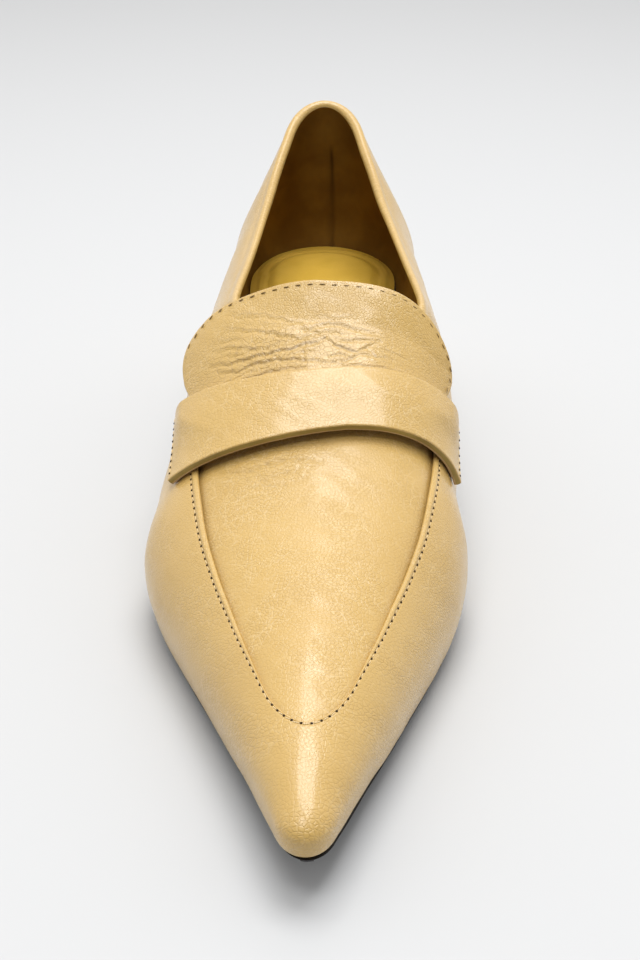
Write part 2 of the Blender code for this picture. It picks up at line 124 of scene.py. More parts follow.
class Table:
    """Named columns against a station, read along a smooth curve that never overshoots its rows."""

    def __init__(self, columns: Sequence[str], rows: Sequence[Sequence[float]]) -> None:
        """Keep the rows.

        Args:
            columns: Names of the values after the station.
            rows: A station and its values, a row each.
        """
        data = np.array(rows, dtype=float)
        self.stations = data[:, 0]
        self.values = {name: data[:, i + 1] for i, name in enumerate(columns)}

    def slopes(self, column: str) -> Array:
        """Slope of the curve at each row, zero at a turning point.

        Args:
            column: Name of the column.

        Returns:
            One slope for each row.
        """
        steps = np.diff(self.values[column]) / np.diff(self.stations)
        product = steps[:-1] * steps[1:]
        total = np.where(product > 0, steps[:-1] + steps[1:], 1.0)
        inner = np.where(product > 0, 2 * product / total, 0.0)
        return np.concatenate(([steps[0]], inner, [steps[-1]]))

    def at(self, station: Array | float, column: str) -> Array:
        """Values of a column.

        Args:
            station: Where to read it.
            column: Name of the column.

        Returns:
            The value at each station.
        """
        values = self.values[column]
        slopes = self.slopes(column)
        station = np.clip(np.asarray(station, dtype=float), self.stations[0], self.stations[-1])
        i = np.clip(np.searchsorted(self.stations, station) - 1, 0, len(values) - 2)
        width = self.stations[i + 1] - self.stations[i]
        s = (station - self.stations[i]) / width
        rise = values[i + 1] - values[i]
        first = slopes[i] * width
        last = slopes[i + 1] * width
        return values[i] + s * (first + s * (3 * rise - 2 * first - last + s * (first + last - 2 * rise)))


class Outline:
    """Half width of a level of the last that is round at its ends, seen from above or from the side."""

    def __init__(self, start: float, end: float, start_radius: float, end_radius: float, table: Table,
                 column: str) -> None:
        """Work out the shares of a round-ended width that the rows of a table ask for.

        Args:
            start: Station of the first end.
            end: Station of the second end.
            start_radius: Radius of the first end, or 0 where it is cut square.
            end_radius: Radius of the second end.
            table: Table that holds the half widths.
            column: Its column.
        """
        self.start = start
        self.length = end - start
        self.round_start = start_radius > 0
        shares = [(1.0, math.sqrt(2 * end_radius * self.length))]
        if self.round_start:
            shares.append((0.0, math.sqrt(2 * start_radius * self.length)))
        for station, half in zip(table.stations, table.values[column]):
            u = (station - start) / self.length
            if half > 0:
                shares.append((u, half / float(self.rounding(u))))
        self.shares = Table(("value",), sorted(shares))

    def rounding(self, u: Array | float) -> Array:
        """The round-ended share of the width at positions between the ends."""
        u = np.asarray(u, dtype=float)
        return np.sqrt(np.maximum((u if self.round_start else 1.0) * (1 - u), 0.0))

    def station(self, u: Array | float) -> Array:
        """Stations at positions between the ends."""
        return self.start + np.asarray(u, dtype=float) * self.length

    def half(self, u: Array | float) -> Array:
        """Half widths at positions between the ends."""
        return self.rounding(u) * self.shares.at(u, "value")


@dataclass
class Last:
    """The foot form that every piece follows, with the driving sizes of the part."""

    length: float = 265.0
    ball_width: float = 82.0
    heel_height: float = 35.0
    back_height: float = 93.8
    throat: float = 127.0
    ridge_end: float = 257.0
    feather_inset_back: float = 2.5
    feather_inset_toe: float = 1.0
    topline_inset_back: float = 4.5
    shift_x: float = 2.0
    sole_thickness: float = 3.6
    gap: float = 0.3
    heel_radius_feather: float = 21.0
    heel_radius_bulge: float = 23.0
    heel_radius_topline: float = 8.5
    throat_radius: float = 28.0
    toe_radius_feather: float = 4.2
    toe_radius_bulge: float = 4.5
    toe_radius_ridge: float = 2.6
    swing_fade: float = 26.0
    widest_opening: float = 0.98
    least_width: float = 0.001
    least_turn: float = 0.001
    end_margin: float = 0.004
    along_step: float = 0.002
    over_step: float = 0.02
    edge_step: float = 0.001
    slope_step: float = 0.25

    def __post_init__(self) -> None:
        """Make the tables and outlines of the form."""
        heel = self.heel_height
        back = self.back_height
        ball = 0.5 * self.ball_width
        self.tread = Table(
            ("height",),
            [
                (0, heel + 2.2), (22, heel + 1.2), (45, heel - 1.4), (70, heel - 7.8), (95, heel - 16.8),
                (120, heel - 26.2), (142, heel - 32.6), (159, 0.0), (191, 0.0), (208, 0.8), (228, 3.2),
                (248, 6.3), (265, 8.4),
            ],
        )
        self.sections = Table(
            ("feather_half", "feather_swing", "bulge_half", "bulge_swing", "bulge_rise", "fullness"),
            [
                (26, 24.8, 0.0, 27.9, 0.7, 12.0, 1.34),
                (48, 25.0, -0.6, 29.1, 0.3, 12.5, 1.8),
                (74, 25.0, -1.5, 32.6, 0.35, 13.0, 2.2),
                (100, 28.4, -2.0, 36.0, 0.3, 12.5, 2.3),
                (124, 32.8, -2.0, 38.4, -0.3, 12.0, 2.25),
                (148, 36.6, -2.5, 39.8, -2.4, 11.5, 2.2),
                (165, ball - 2.0, -2.3, ball + 0.2, -2.3, 11.0, 2.2),
                (180, 35.8, -1.6, 38.0, -1.6, 10.5, 2.15),
                (196, 29.8, -0.8, 31.7, -0.9, 9.6, 2.1),
                (212, 23.2, -0.3, 25.1, -0.4, 8.6, 2.1),
                (228, 17.2, 0.0, 18.5, 0.0, 7.5, 2.1),
                (244, 11.2, 0.1, 11.95, 0.1, 6.2, 2.0),
                (256, 6.8, 0.1, 7.3, 0.1, 5.2, 2.0),
                (265, 0.0, 0.1, 0.0, 0.1, 4.5, 2.0),
            ],
        )
        self.topline = Table(
            ("half", "height"),
            [
                (self.topline_inset_back, 0.0, back), (12, 9.7, back - 3.0), (25, 13.4, back - 9.8),
                (40, 16.5, back - 17.3), (55, 19.2, back - 22.8), (70, 21.5, back - 26.2),
                (85, 23.6, back - 27.8), (97, 25.0, back - 28.2), (106, 25.5, back - 28.2),
                (114, 24.0, back - 28.3), (120, 19.3, back - 28.5), (124, 13.0, back - 28.65),
                (self.throat, 0.0, back - 28.8),
            ],
        )
        self.crest_swing = Table(
            ("x",),
            [
                (25, 0.0), (45, 0.6), (63, 1.5), (85, 2.2), (106, 2.7), (127, 4.8), (148, 8.0), (165, 7.5),
                (185, 5.0), (205, 2.8), (225, 1.0), (245, -0.1), (self.ridge_end, -0.2),
            ],
        )
        self.ridge = Table(
            ("height",),
            [
                (self.throat, back - 28.8), (140, 57.8), (160, 48.8), (180, 42.4), (200, 37.4),
                (220, 32.6), (239, 27.9), (250, 25.0), (self.ridge_end, 22.5),
            ],
        )
        self.feather_outline = Outline(
            self.feather_inset_back, self.length - self.feather_inset_toe, self.heel_radius_feather,
            self.toe_radius_feather, self.sections, "feather_half",
        )
        self.bulge_outline = Outline(
            0.0, self.length, self.heel_radius_bulge, self.toe_radius_bulge, self.sections, "bulge_half"
        )
        self.opening = Outline(
            self.topline_inset_back, self.throat, self.heel_radius_topline, self.throat_radius,
            self.topline, "half",
        )
        rises = self.ridge.values["height"] - self.bulge_height(self.ridge.stations)
        rise_table = Table(("rise",), list(zip(self.ridge.stations, rises)))
        self.crest = Outline(self.throat, self.length, 0.0, self.toe_radius_ridge, rise_table, "rise")
        self.throat_u = self.throat / self.length

    def to_world(self, values: Array) -> Array:
        """Points on the last as metres in the part's frame."""
        x, station, z = np.moveaxis(values, -1, 0)
        return np.stack((x + self.shift_x, 0.5 * self.length - station, z), axis=-1) * MM

    def sole_top(self, station: Array | float) -> Array:
        """Height of the outsole's upper face."""
        return self.tread.at(station, "height") + self.sole_thickness

    def bulge_height(self, station: Array | float) -> Array:
        """Height of the widest line of the upper."""
        return self.sole_top(station) + self.gap + self.sections.at(station, "bulge_rise")

    def swing(self, station: Array, name: str) -> Array:
        """Sideways swing of a level, fading to none at the back of the heel."""
        return self.sections.at(station, name) * np.minimum(1.0, np.asarray(station) / self.swing_fade)

    def crest_x(self, station: Array | float) -> Array:
        """Sideways place of the crest, which lies to the medial side over the instep."""
        return self.crest_swing.at(station, "x")

    def fullness(self, u: Array) -> Array:
        """How full the arch of the upper is at positions between heel and toe."""
        return self.sections.at(self.bulge_outline.station(u), "fullness")

    def feather(self, u: Array, side: Array) -> Array:
        """Points where the upper meets the outsole.

        Args:
            u: Positions from heel to toe.
            side: Their sides.

        Returns:
            The points.
        """
        station = self.feather_outline.station(u)
        x = self.swing(station, "feather_swing") + side * self.feather_outline.half(u)
        return points(x, station, self.sole_top(station) + self.gap)

    def bulge(self, u: Array, side: Array) -> Array:
        """Points on the widest line of the upper.

        Args:
            u: Positions from heel to toe.
            side: Their sides.

        Returns:
            The points.
        """
        station = self.bulge_outline.station(u)
        x = self.swing(station, "bulge_swing") + side * self.bulge_outline.half(u)
        return points(x, station, self.bulge_height(station))

    def height(self, station: Array, x: Array) -> Array:
        """Height of the upper's outer face over points of the plan, over the instep and the vamp.

        Args:
            station: Stations of the points.
            x: Their distance from the middle.

        Returns:
            The height of the face at each point.
        """
        station, x = np.broadcast_arrays(np.asarray(station, dtype=float), np.asarray(x, dtype=float))
        u = np.clip(station / self.length, 0.0, 1.0)
        crest = self.crest_x(station)
        edge = np.abs(self.bulge(u, np.where(x > crest, 1.0, -1.0))[..., 0] - crest)
        power = self.sections.at(station, "fullness")
        base = self.bulge_height(station)
        front = self.crest.half(np.clip((station - self.throat) / self.crest.length, 0.0, 1.0))
        v = np.clip((station - self.opening.start) / self.opening.length, 0.0, 1.0)
        edge = np.maximum(edge, self.least_width)
        top_share = np.clip(self.opening.half(v) / edge, 0.0, self.widest_opening)
        top_rise = self.topline.at(station, "height") - base
        rear = top_rise / (1 - top_share**power) ** (1 / power)
        share = np.clip(np.abs(x - crest) / edge, 0.0, 1.0)
        rise = np.where(station >= self.throat, front, rear)
        return base + rise * (1 - share**power) ** (1 / power)

    def plan_normals(self, station: Array, x: Array) -> Array:
        """Outward normals of the upper's face over points of the plan.

        Args:
            station: Distances from the back.
            x: Distances from the middle.

        Returns:
            The normals.
        """
        step = self.slope_step
        slope_x = (self.height(station, x + step) - self.height(station, x - step)) / (2 * step)
        slope_y = (self.height(station + step, x) - self.height(station - step, x)) / (2 * step)
        return unit(points(-slope_x, -slope_y, 1.0))

    def top(self, u: Array, side: Array) -> Array:
        """Points on the edge of the foot opening or, in front of the throat, on the ridge.

        Args:
            u: Positions from heel to toe.
            side: Their sides.

        Returns:
            The points.
        """
        v = np.clip(u / self.throat_u, 0.0, 1.0)
        station = self.opening.station(v)
        x = self.crest_x(station) + side * self.opening.half(v)
        rear = points(x, station, self.topline.at(station, "height"))
        w = np.clip((u - self.throat_u) / (1 - self.throat_u), 0.0, 1.0)
        station = self.throat + w * (self.ridge_end - self.throat)
        x = self.crest_x(station)
        front = points(x, station, self.height(station, x))
        return np.where((u <= self.throat_u)[..., None], rear, front)

    def edge_angle(self, u: Array, side: Array) -> Array:
        """Angle round the arch at which the upper ends: a right angle at the ridge, less at the opening.

        Args:
            u: Positions from heel to toe.
            side: Their sides.

        Returns:
            The angles in radians.
        """
        u = np.clip(u, self.end_margin, 1 - self.end_margin)
        power = self.fullness(u)
        top = self.top(u, side)
        crest = self.crest_x(top[..., 1])
        share = np.abs(top[..., 0] - crest) / np.abs(self.bulge(u, side)[..., 0] - crest)
        return np.arccos(np.clip(share ** (power / 2), 0.0, 1.0))

    def arch_place(self, u: Array, x: Array) -> tuple[Array, Array]:
        """Side of the crest, and angle round the arch, where sections pass a distance from the middle.

        Args:
            u: Positions between heel and toe.
            x: Distances from the middle.

        Returns:
            The side and the angle in radians of each.
        """
        crest = self.crest_x(self.top(u, np.ones_like(u))[..., 1])
        side = np.where(x > crest, 1.0, -1.0)
        share = (x - crest) / (self.bulge(u, side)[..., 0] - crest)
        power = self.fullness(u)
        return side, np.arccos(np.clip(share, 0.0, 1.0) ** (power / 2))

    def crest_rise(self, u: Array, side: Array) -> Array:
        """Height of the crest over the widest line, also where the foot opening cuts it off.

        Args:
            u: Positions from heel to toe.
            side: Their sides.

        Returns:
            The heights.
        """
        power = 2 / self.fullness(u)
        rise = self.top(u, side)[..., 2] - self.bulge(u, side)[..., 2]
        return rise / np.sin(self.edge_angle(u, side)) ** power

    def crest_reach(self, u: Array, side: Array) -> Array:
        """Way from the widest line to the crest, as a multiple of the way to the top edge."""
        power = 2 / self.fullness(u)
        return 1 / (1 - np.maximum(np.cos(self.edge_angle(u, side)), 0.0) ** power)

    def arch(self, u: Array, side: Array, angle: Array) -> Array:
        """Points of the surface, at angles round the arch from the widest line to the ridge.

        Args:
            u: Positions from heel to toe.
            side: Their sides.
            angle: Angle round the arch, in radians.

        Returns:
            The points.
        """
        u, side, angle = np.broadcast_arrays(u, side, angle)
        bulge = self.bulge(u, side)
        top = self.top(u, side)
        power = 2 / self.fullness(u)
        inward = 1 - np.maximum(np.cos(angle), 0.0) ** power
        rise = self.crest_rise(u, side)
        forward = self.crest_reach(u, side)
        point = bulge + (top - bulge) * (inward * forward)[..., None]
        other = -side
        inside = soft_step(angle, self.edge_angle(u, side), RIGHT_ANGLE + self.least_turn)
        rise = rise + 0.5 * (self.crest_rise(u, other) - rise) * inside
        forward = forward + 0.5 * (self.crest_reach(u, other) - forward) * inside
        point[..., 1] = bulge[..., 1] + (top - bulge)[..., 1] * inward * forward
        rear = bulge[..., 2] + rise * np.maximum(np.sin(angle), 0.0) ** power
        point[..., 2] = np.where(u > self.throat_u, self.height(point[..., 1], point[..., 0]), rear)
        return point

    def wall(self, u: Array, side: Array, level: Array) -> Array:
        """Points of the lower wall: level -1 at the feather edge, 0 at the widest line.

        Args:
            u: Positions from heel to toe.
            side: Their sides.
            level: Level of each point.

        Returns:
            The points.
        """
        u, side, level = np.broadcast_arrays(u, side, level)
        bulge = self.bulge(u, side)
        feather = self.feather(u, side)
        point = feather + (bulge - feather) * (1 - level * level)[..., None]
        point[..., 2] = feather[..., 2] + (bulge[..., 2] - feather[..., 2]) * (1 + level)
        return point

    def lifted(self, u: Array, side: Array, angle: Array, lift: Array) -> tuple[Array, Array]:
        """Points of the surface moved out along its normal.

        Args:
            u: Positions from heel to toe.
            side: Their sides.
            angle: Angle round the arch, in radians.
            lift: Distance from the surface.

        Returns:
            The moved points and the normals.
        """
        along = self.arch(u + self.along_step, side, angle) - self.arch(u - self.along_step, side, angle)
        over = self.arch(u, side, np.minimum(angle + self.over_step, RIGHT_ANGLE))
        over = over - self.arch(u, side, angle - self.over_step)
        normal = unit(np.cross(along, over) * np.asarray(side)[..., None])
        return self.arch(u, side, angle) + normal * np.asarray(lift)[..., None], normal

    def sole_edge(self, u: Array, side: Array, margin: Array | float) -> Array:
        """Points of the feather edge moved out sideways by a margin, seen from above.

        Args:
            u: Positions from heel to toe.
            side: Their sides.
            margin: Distance out of the edge.

        Returns:
            The points.
        """
        ahead = self.feather(np.minimum(u + self.edge_step, 1.0), side)
        along = ahead - self.feather(np.maximum(u - self.edge_step, 0.0), side)
        normal = points(along[..., 1], -along[..., 0], 0.0) * np.asarray(side)[..., None]
        ends = np.where(u < 0.5, -1.0, 1.0)
        at_end = (u < self.edge_step) | (u > 1 - self.edge_step)
        normal = np.where(at_end[..., None], points(0.0 * ends, ends, 0.0), unit(normal))
        return self.feather(u, side) + normal * np.broadcast_to(margin, u.shape)[..., None]


@dataclass(frozen=True)
class Crease:
    """A soft trough pressed into leather along a line, with low ridges beside it.

    Attributes:
        depth: Depth of the trough.
        width: Half width of the trough.
        line: Stations and distances from the middle that the trough passes.
    """

    depth: float
    width: float
    line: tuple[tuple[float, float], ...]
    ridge_height: ClassVar[float] = 0.4
    ridge_place: ClassVar[float] = 2.6
    ridge_width: ClassVar[float] = 1.7
    end_share: ClassVar[float] = 0.06
    end_power: ClassVar[float] = 0.7
    wobble: ClassVar[float] = 0.18
    fine_wobble: ClassVar[float] = 0.05

    def relief(self, station: Array, x: Array) -> Array:
        """Height that the crease adds to points of a surface.

        Args:
            station: Stations of the points.
            x: Their distance from the middle.

        Returns:
            The height at each point.
        """
        nearest = np.full(station.shape, 1e6)
        along = np.zeros(station.shape)
        total = len(self.line) - 1
        wobble = self.wobble * np.sin(1.1 * x + 0.7 * station)
        wobble = wobble + self.fine_wobble * np.sin(2.9 * x - 1.3 * station)
        for i, (a, b) in enumerate(zip(self.line, self.line[1:])):
            run = np.array(b) - np.array(a)
            s = ((station - a[0]) * run[0] + (x - a[1]) * run[1]) / float(run @ run)
            s = np.clip(s, 0.0, 1.0)
            gap = np.hypot(station + wobble - a[0] - s * run[0], x - a[1] - s * run[1])
            along = np.where(gap < nearest, (i + s) / total, along)
            nearest = np.minimum(gap, nearest)
        reach = self.end_share + (1 - 2 * self.end_share) * along
        fade = np.sin(np.pi * np.clip(reach, 0.0, 1.0)) ** self.end_power
        trough = bump(nearest, 0.0, self.width)
        ridge = bump(nearest, self.ridge_place * self.width, self.ridge_width * self.width)
        return self.depth * fade * (self.ridge_height * ridge - trough)


def relief_of(creases: Sequence[Crease], station: Array, x: Array) -> Array:
    """Height that several creases add together."""
    return sum((crease.relief(station, x) for crease in creases), np.zeros(station.shape))


WAVES = (
    ((1.0, 0.6, 0.0), 1.0, 1.3),
    ((0.0, 0.8, -0.5), 1.37, 0.4),
    ((-0.7, 0.2, 0.9), 1.73, 2.2),
    ((1.0, -1.0, 1.0), 2.3, 0.9),
)


def undulation(values: Array, scale: float) -> Array:
    """A slow unevenness between -1 and 1, the same for the same points.

    Args:
        values: Points on the last.
        scale: Length of its waves.

    Returns:
        Its value at each point.
    """
    turns = 2 * math.pi / scale
    waves = [np.sin(turns * pitch * (values @ np.array(way)) + phase) for way, pitch, phase in WAVES]
    return sum(waves) / len(WAVES)


def linked(name: str, data: bpy.types.ID) -> bpy.types.Object:
    """A new object in the scene.

    Args:
        name: Its name.
        data: Its mesh, light or camera.

    Returns:
        The object.
    """
    obj = bpy.data.objects.new(name, data)
    bpy.context.collection.objects.link(obj)
    return obj


class ShellMesh:
    """Collects grids of points on the last as one mesh, with material numbers and point attributes."""

    merge_distance: ClassVar[float] = 0.002 * MM
    thin_distance: ClassVar[float] = 0.001 * MM

    def __init__(self) -> None:
        """Start with nothing."""
        self.vertices: list[Array] = []
        self.faces: list[tuple[int, ...]] = []
        self.numbers: list[int] = []
        self.attributes: dict[str, list[Array]] = {}
        self.count = 0

    def add_grid(self, grid: Array, closed_rows: bool = False, closed_columns: bool = False,
                 numbers: Array | None = None, **attributes: Array) -> None:
        """Add a grid of points and its quads.

        Args:
            grid: Points as rows by columns by 3.
            closed_rows: Join the last row to the first.
            closed_columns: Join the last column to the first.
            numbers: Material number of each quad, or none for 0.
            **attributes: Values for each point, by name.
        """
        rows, columns = grid.shape[:2]
        index = np.arange(rows * columns).reshape(rows, columns) + self.count
        if closed_rows:
            index = np.vstack((index, index[:1]))
        if closed_columns:
            index = np.hstack((index, index[:, :1]))
        quads = np.stack((index[:-1, :-1], index[:-1, 1:], index[1:, 1:], index[1:, :-1]), axis=-1)
        self.faces += [tuple(quad) for quad in quads.reshape(-1, 4).tolist()]
        shape = quads.shape[:2]
        self.numbers += np.broadcast_to(0 if numbers is None else numbers, shape).reshape(-1).tolist()
        self.vertices.append(grid.reshape(-1, 3))
        for name, values in attributes.items():
            stack = self.attributes.setdefault(name, [])
            stack.append(np.broadcast_to(values, (rows, columns)).reshape(-1))
        self.count += rows * columns

    def to_object(self, name: str, last: Last, materials: Sequence[Material],
                  sharp: float = 40.0) -> bpy.types.Object:
        """Make the object.

        Args:
            name: Name of the piece.
            last: Last whose frame the points are in.
            materials: Materials by number.
            sharp: Angle in degrees above which an edge is shaded sharp.

        Returns:
            The new object, linked to the scene.
        """
        mesh = bpy.data.meshes.new(name)
        world = last.to_world(np.concatenate(self.vertices))
        mesh.from_pydata(world.tolist(), [], self.faces)
        for key, stack in self.attributes.items():
            layer = mesh.attributes.new(key, "FLOAT", "POINT")
            layer.data.foreach_set("value", np.concatenate(stack).astype(np.float32))
        mesh.polygons.foreach_set("material_index", self.numbers)
        work = bmesh.new()
        work.from_mesh(mesh)
        bmesh.ops.remove_doubles(work, verts=work.verts, dist=self.merge_distance)
        bmesh.ops.dissolve_degenerate(work, edges=work.edges, dist=self.thin_distance)
        bmesh.ops.recalc_face_normals(work, faces=work.faces)
        work.to_mesh(mesh)
        work.free()
        for material in materials:
            mesh.materials.append(material)
        mesh.shade_smooth()
        mesh.set_sharp_from_angle(angle=math.radians(sharp))
        return linked(name, mesh)


@dataclass(frozen=True)
class PlateEdge:
    """Cross-section of a cut edge: how far in each row lies and its share of the half thickness."""

    insets: tuple[float, ...] = (0.0, 0.03, 0.1, 0.22, 0.4)
    shares: tuple[float, ...] = (0.0, 0.55, 0.86, 0.97, 1.0)

    def spread(self, length: float, count: int) -> tuple[Array, Array]:
        """Positions between two edges, close together at both.

        Args:
            length: Distance between the edges in millimetres.
            count: Number of steps between the edge rows.

        Returns:
            Positions from 0 to 1, and the share of the half thickness at each.
        """
        inset = np.array(self.insets) / length
        middle = np.linspace(inset[-1], 1 - inset[-1], count + 1)[1:-1]
        position = np.concatenate((inset, middle, 1 - inset[::-1]))
        share = np.concatenate((self.shares, np.ones(len(middle)), self.shares[::-1]))
        return position, share


def add_plate(mesh: ShellMesh, middle: Array, normal: Array, half: Array, numbers: tuple[Array, Array],
              **attributes: Array) -> None:
    """Add a closed plate round a middle surface; its thickness goes to nothing at its edges.

    Args:
        mesh: Mesh that takes the plate.
        middle: Points of the middle surface, rows by columns.
        normal: Normals there.
        half: Half thickness there.
        numbers: Material numbers of the quads above and below.
        **attributes: Values for each point, by name.
    """
    mesh.add_grid(middle + normal * half[..., None], numbers=numbers[0], **attributes)
    mesh.add_grid(middle - normal * half[..., None], numbers=numbers[1], **attributes)


class NodeTree:
    """Short way to add and link the nodes of a shader, world or geometry tree."""

    def __init__(self, tree: bpy.types.NodeTree) -> None:
        """Keep the tree."""
        self.tree = tree

    def add(self, kind: str, inputs: dict | None = None, **settings: object) -> bpy.types.Node:
        """Add a node.

        Args:
            kind: Type of the node.
            inputs: Values, or sockets to link, by input name or number.
            **settings: Properties of the node.

        Returns:
            The node.
        """
        node = self.tree.nodes.new(kind)
        for key, value in settings.items():
            setattr(node, key, value)
        for key, value in (inputs or {}).items():
            self.feed(node.inputs[key], value)
        return node

    def feed(self, socket: Socket, value: object) -> None:
        """Link an input to a socket, or set its value.

        Args:
            socket: The input.
            value: Socket or value.
        """
        if isinstance(value, Socket):
            self.tree.links.new(value, socket)
        else:
            socket.default_value = value

    def first(self, kind: str, inputs: dict | None = None, **settings: object) -> Socket:
        """First output of a new node."""
        return self.add(kind, inputs, **settings).outputs[0]

    def math(self, operation: str, a: object, b: object = 0.0) -> Socket:
        """Result of a sum on sockets or numbers."""
        return self.first("ShaderNodeMath", {0: a, 1: b}, operation=operation)

    def blend(self, factor: object, first: object, second: object) -> Socket:
        """Mix of two colours."""
        node = self.add("ShaderNodeMix", {0: factor, 6: first, 7: second}, data_type="RGBA")
        return node.outputs[2]

    def ramp(self, value: object, low: float, high: float, start: float = 0.0, end: float = 1.0) -> Socket:
        """A value mapped from one range to another, with smooth ends.

        Args:
            value: Socket or number.
            low: Start of the first range.
            high: End of the first range.
            start: Start of the second range.
            end: End of the second range.

        Returns:
            The mapped value.
        """
        inputs = {0: value, 1: low, 2: high, 3: start, 4: end}
        return self.first("ShaderNodeMapRange", inputs, interpolation_type="SMOOTHSTEP")


class Nodes(NodeTree):
    """The nodes of one material."""

    def __init__(self, name: str) -> None:
        """Make the material.

        Args:
            name: Its name.
        """
        self.material = bpy.data.materials.new(name)
        self.material.use_nodes = True
        super().__init__(self.material.node_tree)
        self.shader = self.tree.nodes["Principled BSDF"]

    def place(self) -> Socket:
        """Object coordinates."""
        return self.add("ShaderNodeTexCoord").outputs["Object"]

    def hide_place(self, turn: float = 0.0, stretch: float = 1.0) -> Socket:
        """Millimetres on the leather as it lies flat, turned and then drawn out along its new y.

        Args:
            turn: Angle in radians.
            stretch: How far patterns are drawn out.

        Returns:
            The coordinates.
        """
        flat = self.first("ShaderNodeCombineXYZ", {0: self.attribute("flat_x"), 1: self.attribute("flat_y")})
        turned = self.first("ShaderNodeMapping", {0: flat, 2: (0.0, 0.0, turn)})
        return self.first("ShaderNodeMapping", {0: turned, 3: (1.0, 1.0 / stretch, 1.0)})

    def attribute(self, name: str) -> Socket:
        """A value stored on the points of the mesh."""
        return self.add("ShaderNodeAttribute", attribute_name=name).outputs["Fac"]

    def noise(self, place: Socket, scale: float, detail: float = 2.0) -> Socket:
        """Noise between 0 and 1."""
        return self.first("ShaderNodeTexNoise", {"Vector": place, "Scale": scale, "Detail": detail})

    def cells(self, place: Socket, size: float) -> Socket:
        """Distance to the edge of irregular flat cells of a size, as a share of it.

        Args:
            place: Coordinates.
            size: Size of a cell.

        Returns:
            The distance.
        """
        node = self.add(
            "ShaderNodeTexVoronoi",
            {"Vector": place, "Scale": 1.0 / size},
            voronoi_dimensions="2D",
            feature="DISTANCE_TO_EDGE",
        )
        return node.outputs["Distance"]

    def warped(self, place: Socket, scale: float, amount: float) -> Socket:
        """Coordinates pushed about by noise, so that cells aren't straight-edged.

        Args:
            place: Coordinates.
            scale: Scale of the noise.
            amount: Furthest push.

        Returns:
            The coordinates.
        """
        noise = self.add("ShaderNodeTexNoise", {"Vector": place, "Scale": scale, "Detail": 2.0})
        centred = {0: noise.outputs[1], 1: (0.5, 0.5, 0.5)}
        shift = self.first("ShaderNodeVectorMath", centred, operation="SUBTRACT")
        scaled = self.first("ShaderNodeVectorMath", {0: shift, "Scale": amount}, operation="SCALE")
        return self.first("ShaderNodeVectorMath", {0: place, 1: scaled})

    def relief(self, height: object, strength: float, distance: float) -> None:
        """Use a height as the shader's bump."""
        inputs = {"Height": height, "Strength": strength, "Distance": distance}
        self.feed(self.shader.inputs["Normal"], self.first("ShaderNodeBump", inputs))

    def surface(self, **inputs: object) -> Material:
        """Set the shader's inputs.

        Args:
            **inputs: Sockets or values, with _ for a space in the input's name.

        Returns:
            The material.
        """
        for key, value in inputs.items():
            self.feed(self.shader.inputs[key.replace("_", " ")], value)
        return self.material


